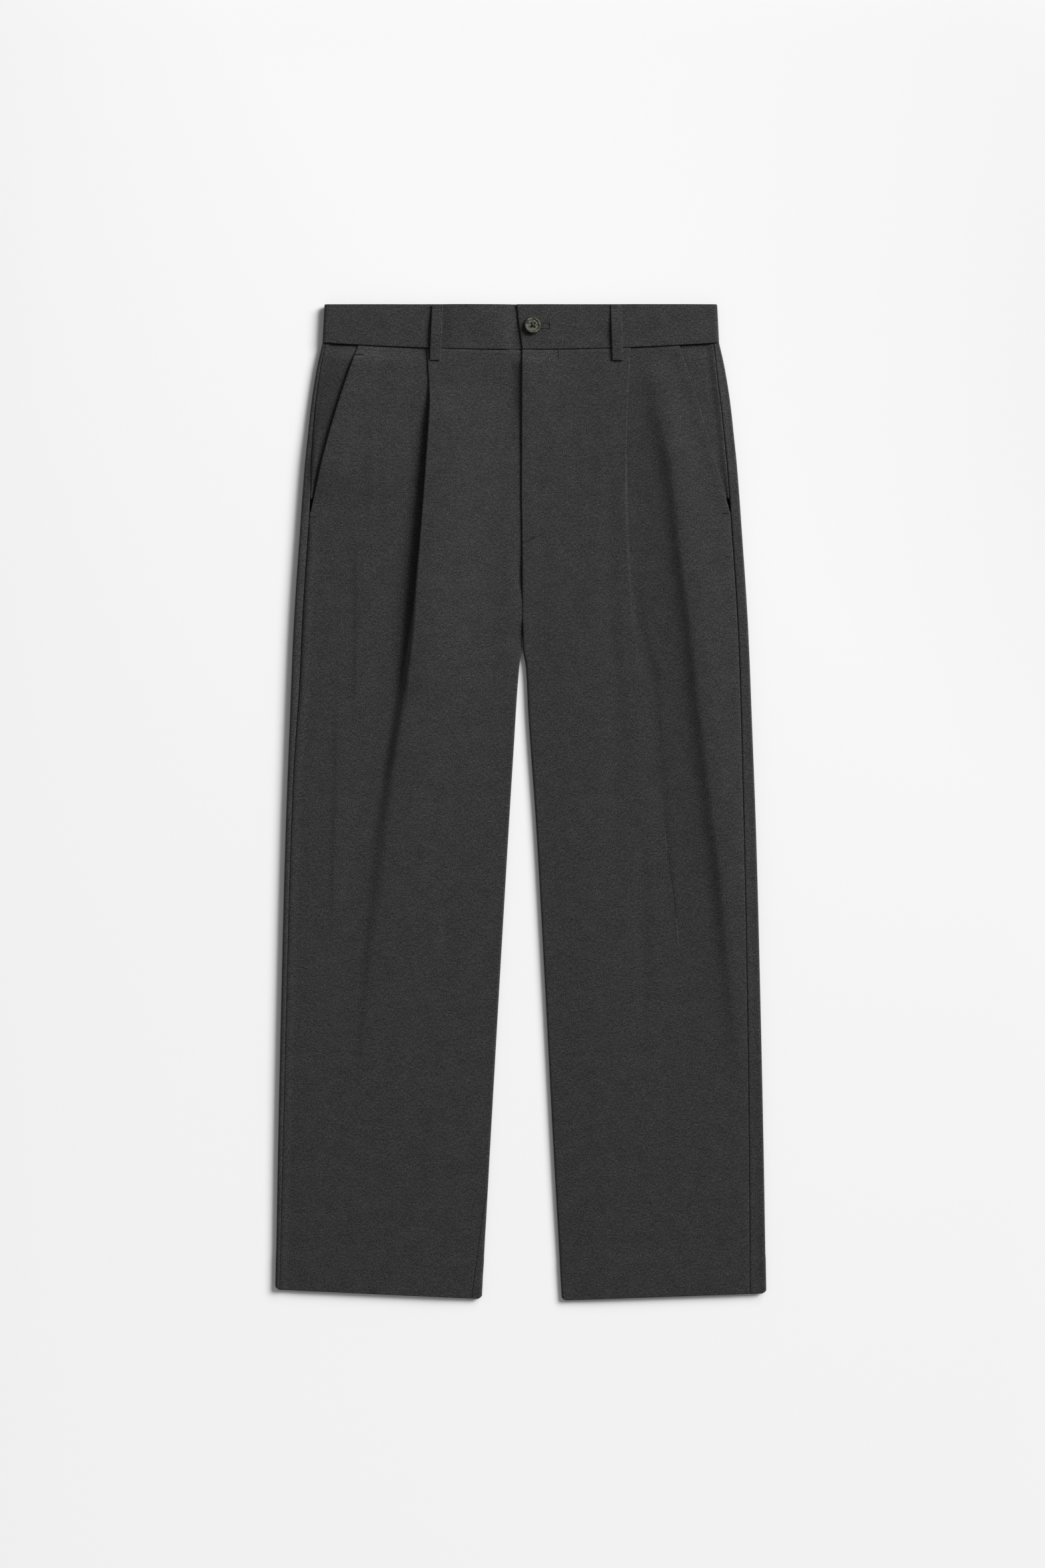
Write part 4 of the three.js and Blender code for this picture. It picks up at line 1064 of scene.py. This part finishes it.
# %% Thread
def thread_mesh(name, strands, radius):
    """Round threads: strands has shape (count, points, 3). A ring of six points goes round each point of a
    line, at radius times sqrt(1 - s^4), where s runs from -1 to 1 along the line, so that its ends close."""
    strands = np.asarray(strands, float)
    count, length = strands.shape[:2]
    along = unit(np.gradient(strands, axis=1))
    side = unit(np.cross(along, np.array([0.13, 0.07, 1.0])))
    over = np.cross(side, along)
    turn = np.linspace(0, 2 * np.pi, 6, endpoint=False)[:, None]
    s = np.linspace(-1, 1, length)[:, None, None]
    size = radius * np.sqrt(1.02 - s**4)
    rings = strands[:, :, None] + size * (np.cos(turn) * side[:, :, None] + np.sin(turn) * over[:, :, None])
    index = np.arange(count * length * 6).reshape(count, length, 6)
    after = np.roll(index, -1, axis=2)
    tube = np.stack([index[:, :-1], after[:, :-1], after[:, 1:], index[:, 1:]], -1).reshape(-1, 4)
    ends = np.concatenate([index[:, 0][:, [0, 5, 2, 1]], index[:, 0][:, [2, 5, 4, 3]],
                           index[:, -1][:, [0, 1, 2, 5]], index[:, -1][:, [2, 3, 4, 5]]])
    piece = make_object(name, rings.reshape(-1, 3), np.concatenate([tube, ends]))
    print(f"{name}: {count} strands, {len(piece.data.polygons)} faces")
    return piece


def strand(start, end, rise=0.0, points=5):
    """A thread from start to end, bowed upwards as a parabola."""
    u = np.linspace(0, 1, points)[:, None]
    line = mix(np.array(start, float), np.array(end, float), u)
    line[:, 2] += rise * 4 * (u * (1 - u))[:, 0]
    return line


def front_top(half, x, y):
    """Height of a front's face at a place in the garment's own x and y."""
    return float(np.ravel(face_height(half, np.array([[abs(x)]], float), np.array([[y]], float)))[0])


def satin(start, end, width, surface, step=0.45):
    """A bar of close stitches between two points, each laid across the bar on the surface."""
    start, end = np.array(start, float), np.array(end, float)
    length = np.linalg.norm(end - start)
    direction = (end - start) / length
    aside = np.array([-direction[1], direction[0]]) * width / 2
    bars = []
    for k in range(int(length / step) + 1):
        middle = start + direction * (k * step)
        a, b = middle - aside, middle + aside + direction * step * 0.4
        bars.append(strand([*a, surface(*a)], [*b, surface(*b)], 0.25))
    return bars


def running(start, end, surface, length=2.0, gap=0.5):
    """A line of running stitches between two points on a surface."""
    start, end = np.array(start, float), np.array(end, float)
    total = np.linalg.norm(end - start)
    count = max(1, int(round((total + gap) / (length + gap))))
    direction = (end - start) / total
    pitch = (total + gap) / count
    rows = []
    for k in range(count):
        a, b = start + direction * k * pitch, start + direction * (k * pitch + pitch - gap)
        rows.append(strand([*a, surface(*a)], [*b, surface(*b)], 0.12))
    return rows


# %% The surfaces that stitches lie on
def on_band(x, y):
    """Height of the left band's face."""
    x, y = np.array(x, float), np.array(y, float)
    return float(band_height(x, y) + band_rise(LEFT, x, y))


def on_mouth(half):
    """A surface for stitches: a front's face beside its pocket mouth, with the mouth's gape."""

    def surface(x, y):
        gape = mouth_gape(half, np.array([[abs(x)]]), np.array([[y]]))
        return front_top(half, x, y) + 0.1 + float(np.ravel(gape)[0])

    return surface


def on_left_front(x, y):
    """Height of the left front's face."""
    return front_top(LEFT, x, y)


def above(surface, rise):
    """A surface for stitches, so much above another."""
    return lambda x, y: surface(x, y) + rise


def on_loop(rest, centre, crown):
    """A surface for stitches: the crowned face of a loop that rests at a height."""

    def surface(x, y):
        return rest + crown * (1 - ((x - centre) / (LOOP_WIDTH / 2)) ** 2) - 0.12

    return surface


# %% Stitches
MOUTH_TACKS = (
    (RIGHT, [((-172.6, 469.6), (-164.4, 469.6)), ((-220.5, 299.8), (-214.2, 299.8))]),
    (LEFT, [((162.0, 469.4), (168.2, 469.4)), ((211.8, 303), (218.0, 303))]),
)
FLY_TACK = ((1.5, 270.8), (15.4, 279.0))
SEAM_TACK = ((39.6, 462.6), (39.6, 474.6))
HOLE = {"rows": (496.9, 502.3), "begin": 9.5, "end": 30.6}

bar_tacks = []
for half, marks in MOUTH_TACKS:
    for start, end in marks:
        bar_tacks += satin(start, end, 1.6, on_mouth(half))
bar_tacks += satin(*SEAM_TACK, 0.6, above(on_left_front, 0.05), 0.6)
thread_mesh("bar_tacks", bar_tacks, 0.22)
thread_mesh("fly_tack", satin(*FLY_TACK, 1.3, above(on_left_front, 0.55), 0.5), 0.22)

loop_stitches = []
for side, (half, top, foot) in FRONT_LOOPS.items():
    rest = loop_rest(half, foot) + LOOP_WALL
    for y, x, crown in ((517.3, top + 0.1, 0.24), (465.0, foot, LOOP_CROWN)):
        centre = half["sign"] * x
        surface = on_loop(rest, centre, crown)
        loop_stitches += running((centre - 5.1, y), (centre + 5.1, y), surface)
thread_mesh("belt_loop_stitches", loop_stitches, 0.2)

buttonhole = []
for y in HOLE["rows"]:
    buttonhole += satin((HOLE["begin"], y), (HOLE["end"], y), 1.5, above(on_band, 0.05), 0.42)
low_row, high_row = HOLE["rows"]
bar = (HOLE["end"], low_row - 0.3), (HOLE["end"], high_row + 0.3)
buttonhole += satin(*bar, 1.7, above(on_band, 0.12), 0.42)
thread_mesh("buttonhole_stitches", buttonhole, 0.24)

# %% The button's thread: a cross of three strands each way, and the shank under it
cross = []
for sx, sy in ((1, 1), (-1, 1)):
    for aside in (-0.27, 0.0, 0.27):
        shift = np.array([-sy, sx, 0]) * aside
        start = np.array([sx, sy, 0]) * BUTTON["spacing"] + shift
        line = strand(start + [0, 0, 1.1], -start + 2 * shift + [0, 0, 1.1], 1.75, 9)
        cross.append(place_on_button(line))
seat = place_on_button(np.array([0.0, 0.0, 0.2]))
shank = []
for turn in np.arange(9) * 2 * np.pi / 9:
    foot = (BUTTON["across"] + 1.6 * np.cos(turn), BUTTON["y"] + 1.6 * np.sin(turn), BAND_FACE - 0.4)
    head = seat + np.array([1.4 * np.cos(turn + 0.6), 1.4 * np.sin(turn + 0.6), 0])
    shank.append(strand(foot, head, 0.0, 9))
thread_mesh("button_thread", [*cross, *shank], 0.36)

# %% [markdown]
# ## Woven wool
#
# The cloth is a plain weave: each yarn goes over one and under the next, about twenty to a centimetre. The
# yarn is spun from light and dark fibres, so no two stretches of it have the same grey, and from a step away
# the cloth is a fine uneven grain. Painting noise straight on to the surface would miss both. Instead the
# cloth's own map tells which warp and which weft yarn a point lies on, each yarn takes its greys from noise
# that runs along it, and the yarn that is on top gives the colour and the height.


# %% Helpers for shader nodes
def add(tree, kind, inputs=None, **settings):
    """Adds a node, sets its properties, and sets or links its inputs by name or number."""
    node = tree.nodes.new(kind)
    for key, value in settings.items():
        setattr(node, key, value)
    for key, value in (inputs or {}).items():
        if isinstance(value, bpy.types.NodeSocket):
            tree.links.new(value, node.inputs[key])
        else:
            node.inputs[key].default_value = value
    return node


def calc(tree, operation, *values):
    """A Math node's output."""
    return add(tree, "ShaderNodeMath", dict(enumerate(values)), operation=operation).outputs[0]


def noise(tree, vector, scale, detail=2.0, roughness=0.5):
    """A Noise Texture's value."""
    inputs = {"Vector": vector, "Scale": scale, "Detail": detail, "Roughness": roughness}
    return add(tree, "ShaderNodeTexNoise", inputs).outputs["Fac"]


def combine(tree, x, y, z=0.0):
    """A vector from three values."""
    return add(tree, "ShaderNodeCombineXYZ", {0: x, 1: y, 2: z}).outputs[0]


def blend_value(tree, factor, a, b):
    """A value between a and b by a factor."""
    return add(tree, "ShaderNodeMix", {"Factor": factor, 2: a, 3: b}, data_type="FLOAT").outputs[0]


def ramp(tree, value, low, high, to_low=0.0, to_high=1.0):
    """Maps a range of values to another range, held at its ends."""
    inputs = {"Value": value, 1: low, 2: high, 3: to_low, 4: to_high}
    return add(tree, "ShaderNodeMapRange", inputs).outputs["Result"]


def scaled(tree, vector, factor):
    """A colour or vector times a value."""
    return add(tree, "ShaderNodeVectorMath", {0: vector, "Scale": factor}, operation="SCALE").outputs[0]


def bump(tree, height, strength, distance, normal=None):
    """A Bump node's normal, on top of another normal if there is one."""
    inputs = {"Strength": strength, "Distance": distance, "Height": height}
    if normal is not None:
        inputs["Normal"] = normal
    return add(tree, "ShaderNodeBump", inputs).outputs[0]


def object_place(tree):
    """The place on the garment, in Object coordinates."""
    return add(tree, "ShaderNodeTexCoord").outputs["Object"]


def new_material(name, constants):
    """A material and its node tree, with constants set on its Principled BSDF's own sockets."""
    material = bpy.data.materials.new(name)
    material.use_nodes = True
    for key, value in constants.items():
        material.node_tree.nodes["Principled BSDF"].inputs[key].default_value = value
    return material, material.node_tree


def feed(tree, key, output):
    """Links an output to an input of the material's Principled BSDF."""
    tree.links.new(output, tree.nodes["Principled BSDF"].inputs[key])


# %% The weave as a node group
SLUB = 2.6  # how much a yarn's own grey, and a fibre's, changes the shade
CLOUD = 0.3  # the same for clouds over the cloth


def weave_group():
    """Plain weave on a map in metres. It puts out Shade, which varies about 1, and Height, from 0 to 1."""
    tree = bpy.data.node_groups.new("plain_weave", "ShaderNodeTree")
    tree.interface.new_socket("Map", in_out="INPUT", socket_type="NodeSocketVector")
    for name, value in (("Pitch", 0.0005), ("Melange", 1.0)):
        socket = tree.interface.new_socket(name, in_out="INPUT", socket_type="NodeSocketFloat")
        socket.default_value = value
    for name in ("Shade", "Height"):
        tree.interface.new_socket(name, in_out="OUTPUT", socket_type="NodeSocketFloat")

    def times(a, b):
        return calc(tree, "MULTIPLY", a, b)

    def plus(a, b):
        return calc(tree, "ADD", a, b)

    def about_none(value, amount):
        """A noise moved down so that it varies about 0, times an amount."""
        return times(calc(tree, "SUBTRACT", value, 0.5), amount)

    given = add(tree, "NodeGroupInput").outputs
    split = add(tree, "ShaderNodeSeparateXYZ", {0: given["Map"]})
    wander = noise(tree, given["Map"], 90.0, 1.0)
    u, v = (plus(calc(tree, "DIVIDE", split.outputs[k], given["Pitch"]), wander) for k in (0, 1))
    warp, weft = calc(tree, "FLOOR", u), calc(tree, "FLOOR", v)
    on_top = calc(tree, "FLOORED_MODULO", plus(warp, weft), 2.0)

    # The grey of each yarn, from noise that runs along it, and the flecks of its fibres.
    warp_grey = noise(tree, combine(tree, times(warp, 7.31), v), 0.16, 2.0, 0.7)
    weft_grey = noise(tree, combine(tree, u, times(weft, 5.77), 9.0), 0.16, 2.0, 0.7)
    yarn = blend_value(tree, on_top, weft_grey, warp_grey)
    fleck = noise(tree, combine(tree, times(u, 0.55), times(v, 0.34), 3.0), 1.0, 2.0, 0.6)
    cloud = noise(tree, given["Map"], 55.0, 2.0)
    spread = plus(plus(about_none(yarn, SLUB), about_none(fleck, SLUB)), about_none(cloud, CLOUD))
    shade = calc(tree, "MAXIMUM", plus(1.0, times(spread, given["Melange"])), 0.25)

    # Each yarn is round across, and rises where it is on top.
    across_warp, across_weft = (calc(tree, "SINE", times(calc(tree, "FRACT", k), np.pi)) for k in (u, v))
    top = blend_value(tree, on_top, across_weft, across_warp)
    rise = blend_value(tree, on_top, across_warp, across_weft)
    height = times(top, plus(0.55, times(rise, 0.45)))
    out = add(tree, "NodeGroupOutput")
    tree.links.new(shade, out.inputs["Shade"])
    tree.links.new(height, out.inputs["Height"])
    return tree


WEAVE = weave_group()


# %% Materials of cloth
CLOTH_FINISH = {
    "Sheen Weight": 0.2,
    "Sheen Roughness": 0.55,
    "Sheen Tint": (0.5, 0.5, 0.52, 1.0),
    "Specular IOR Level": 0.25,
}


def cloth_material(name, grey, pitch, melange, relief):
    """A woven cloth: the weave's shade times a grey, and its height as a bump under a fine pucker."""
    material, tree = new_material(name, CLOTH_FINISH)
    weave = add(tree, "ShaderNodeGroup", node_tree=WEAVE)
    tree.links.new(add(tree, "ShaderNodeUVMap", uv_map="cloth").outputs[0], weave.inputs["Map"])
    weave.inputs["Pitch"].default_value = pitch
    weave.inputs["Melange"].default_value = melange
    shade, height = weave.outputs["Shade"], weave.outputs["Height"]
    feed(tree, "Base Color", scaled(tree, (grey, grey, grey), shade))
    feed(tree, "Roughness", ramp(tree, height, 0.0, 0.6, 0.98, 0.86))
    pucker = bump(tree, noise(tree, object_place(tree), 70.0, 2.0, 0.5), 0.35, 0.0011)
    feed(tree, "Normal", bump(tree, height, relief, 0.00012, pucker))
    return material


wool = cloth_material("charcoal_wool", grey=0.0186, pitch=0.00055, melange=2.2, relief=0.6)
tape = cloth_material("zip_tape_weave", grey=0.012, pitch=0.0007, melange=0.15, relief=0.5)
for piece in (*fronts.values(), *backs.values(), *facings.values(), *bands.values(), *loops.values(), shield):
    piece.data.materials.append(wool)
zip_piece.data.materials.append(tape)
print("cloth:", wool.name, "and", tape.name)

# %% [markdown]
# ## Horn and thread
#
# The button is horn: layers of grey-green that run through it as soft clouds and streaks, with a satin face
# that shines a little. Its outer edge and the groove inside its rim are darker: painted shade, for the shade
# at its edge and in the groove. The thread is dark and twisted, which at its size is only a slight change of
# shade along it. The thread of the buttonhole and the button is black, and so is the fly's tack, partly as
# painted shade for the crease that it lies in.


# %% Materials of horn and thread
HORN_FINISH = {"Specular IOR Level": 0.12, "Coat Weight": 0.03, "Coat Roughness": 0.35}
HORN_TONES = (
    (0.36, (0.008, 0.0083, 0.007, 1)),
    (0.5, (0.058, 0.059, 0.045, 1)),
    (0.66, (0.125, 0.126, 0.098, 1)),
)
HORN_CENTRE = (BUTTON["across"] * MM, BUTTON["y"] * MM, 0.0126)
GROOVE = 0.0063  # distance of the groove from the centre


def horn_material():
    """Horn: two noises give clouds and streaks between three tones, with painted shade at the edge and in the
    groove.
    """
    material, tree = new_material("button_horn", HORN_FINISH)
    place = object_place(tree)
    turn = {"Vector": place, "Rotation": (0.0, 0.0, 0.6), "Scale": (1.0, 2.2, 1.0)}
    streaks = noise(tree, add(tree, "ShaderNodeMapping", turn).outputs[0], 260.0, 4.0, 0.62)
    flecks = noise(tree, place, 900.0, 3.0, 0.6)
    tone = calc(tree, "ADD", calc(tree, "MULTIPLY", streaks, 0.8), calc(tree, "MULTIPLY", flecks, 0.2))
    colours = add(tree, "ShaderNodeValToRGB", {"Fac": tone})
    stops = colours.color_ramp.elements
    stops.new(0.5)
    for stop, (position, colour) in zip(stops, HORN_TONES):
        stop.position, stop.color = position, colour
    distance = {0: place, 1: HORN_CENTRE}
    out = add(tree, "ShaderNodeVectorMath", distance, operation="DISTANCE").outputs["Value"]
    from_groove = calc(tree, "ABSOLUTE", calc(tree, "SUBTRACT", out, GROOVE))
    # Painted shade: the colour is darkened towards the outer edge and in a ring at the groove inside the rim.
    painted_edge_shade = calc(tree, "MULTIPLY", ramp(tree, out, 0.0077, 0.0087, 1.0, 0.1),
                ramp(tree, from_groove, 0.0001, 0.0006, 0.5, 1.0))
    feed(tree, "Base Color", scaled(tree, colours.outputs["Color"], painted_edge_shade))
    feed(tree, "Roughness", ramp(tree, flecks, 0.3, 0.7, 0.5, 0.66))
    feed(tree, "Normal", bump(tree, flecks, 0.15, 0.0001))
    return material


def thread_material(name, grey):
    """Dark sewing thread: a fine noise in shade and height."""
    material, tree = new_material(name, {"Roughness": 0.7})
    twist = noise(tree, object_place(tree), 4000.0, 2.0)
    feed(tree, "Base Color", scaled(tree, (grey, grey, grey * 1.05), ramp(tree, twist, 0.3, 0.7, 0.6, 1.5)))
    feed(tree, "Normal", bump(tree, twist, 0.4, 0.00008))
    return material


button.data.materials.append(horn_material())
THREADS = {
    "dark_thread": (0.009, ("bar_tacks", "belt_loop_stitches")),
    # the fly's tack is black partly as painted shade: it darkens the crease that the tack lies in
    "black_thread": (0.0042, ("fly_tack", "buttonhole_stitches", "button_thread")),
}
for name, (grey, sewn_with) in THREADS.items():
    thread = thread_material(name, grey)
    print(name, "for", *sewn_with)
    for piece_name in sewn_with:
        bpy.data.objects[piece_name].data.materials.append(thread)

# %% [markdown]
# ## Floor, light and camera
#
# The garment lies on a smooth pale floor, a little darker towards the light, so that it looks even. Two soft
# lights stand on the right and a little above, one large and far, one small and near, low enough that each
# fold shades its left side. A pale sky fills the shadows. The camera looks straight down through a long lens,
# so that the legs keep their true width from waist to hem.

# %% Floor
shape = bmesh.new()
bmesh.ops.create_grid(shape, x_segments=8, y_segments=8, size=4.0)
mesh = bpy.data.meshes.new("floor")
shape.to_mesh(mesh)
shape.free()
floor = bpy.data.objects.new("floor", mesh)
floor.data.transform(Matrix.Translation((0, 0, -0.0002)))
bpy.context.collection.objects.link(floor)
paper, tree = new_material("pale_floor", {"Roughness": 0.9, "Specular IOR Level": 0.1})
split = add(tree, "ShaderNodeSeparateXYZ", {0: object_place(tree)})
x, y = split.outputs[0], split.outputs[1]
tone = calc(tree, "MULTIPLY", ramp(tree, y, -0.8, 0.8, 0.865, 0.68), ramp(tree, x, -0.5, 0.5, 1.05, 0.975))
corner = ramp(tree, calc(tree, "ADD", x, y), 0.5, 1.3, 1.0, 0.88)  # the corner nearest to the lights
tone = calc(tree, "MULTIPLY", tone, corner)
feed(tree, "Base Color", combine(tree, tone, tone, tone))
floor.data.materials.append(paper)
print("floor", [round(float(size), 1) for size in floor.dimensions], "m")

# %% Light
SKY = 0.272
SOFT_BOXES = {  # place, the point it faces, side in metres, watts
    "key": ((8.5, 5.3, 6.4), (-5.0, -1.0, 0.0), 5.2, 2050),
    "near": ((1.2, 2.0, 1.3), (-4.0, 1.2, 0.0), 1.0, 37.5),
}
for name, (place, aim, side, watts) in SOFT_BOXES.items():
    lamp = bpy.data.lights.new(name, "AREA")
    lamp.shape, lamp.size, lamp.energy = "SQUARE", side, watts
    box = bpy.data.objects.new(name, lamp)
    box.location = place
    box.rotation_euler = (Vector(aim) - box.location).to_track_quat("-Z", "Y").to_euler()
    bpy.context.collection.objects.link(box)

world = bpy.data.worlds.new("sky")
bpy.context.scene.world = world
world.use_nodes = True
world.node_tree.nodes["Background"].inputs["Color"].default_value = (1.0, 1.0, 1.0, 1.0)
world.node_tree.nodes["Background"].inputs["Strength"].default_value = SKY
bpy.context.scene.view_settings.view_transform = "Standard"
print("lights", list(SOFT_BOXES), "and a sky of", SKY)

# %% Camera
LENS, SENSOR = 85, 36
VIEW_HEIGHT = 1.6464  # metres of floor that the frame shows from top to bottom
VIEW_CENTRE = (0.00175, 0.01925)
lens = bpy.data.cameras.new("overhead")
lens.lens, lens.sensor_width = LENS, SENSOR
camera = bpy.data.objects.new("overhead", lens)
camera.location = (*VIEW_CENTRE, VIEW_HEIGHT * LENS / SENSOR)
bpy.context.collection.objects.link(camera)
bpy.context.scene.camera = camera
print("camera", round(camera.location.z, 2), "m above the floor")
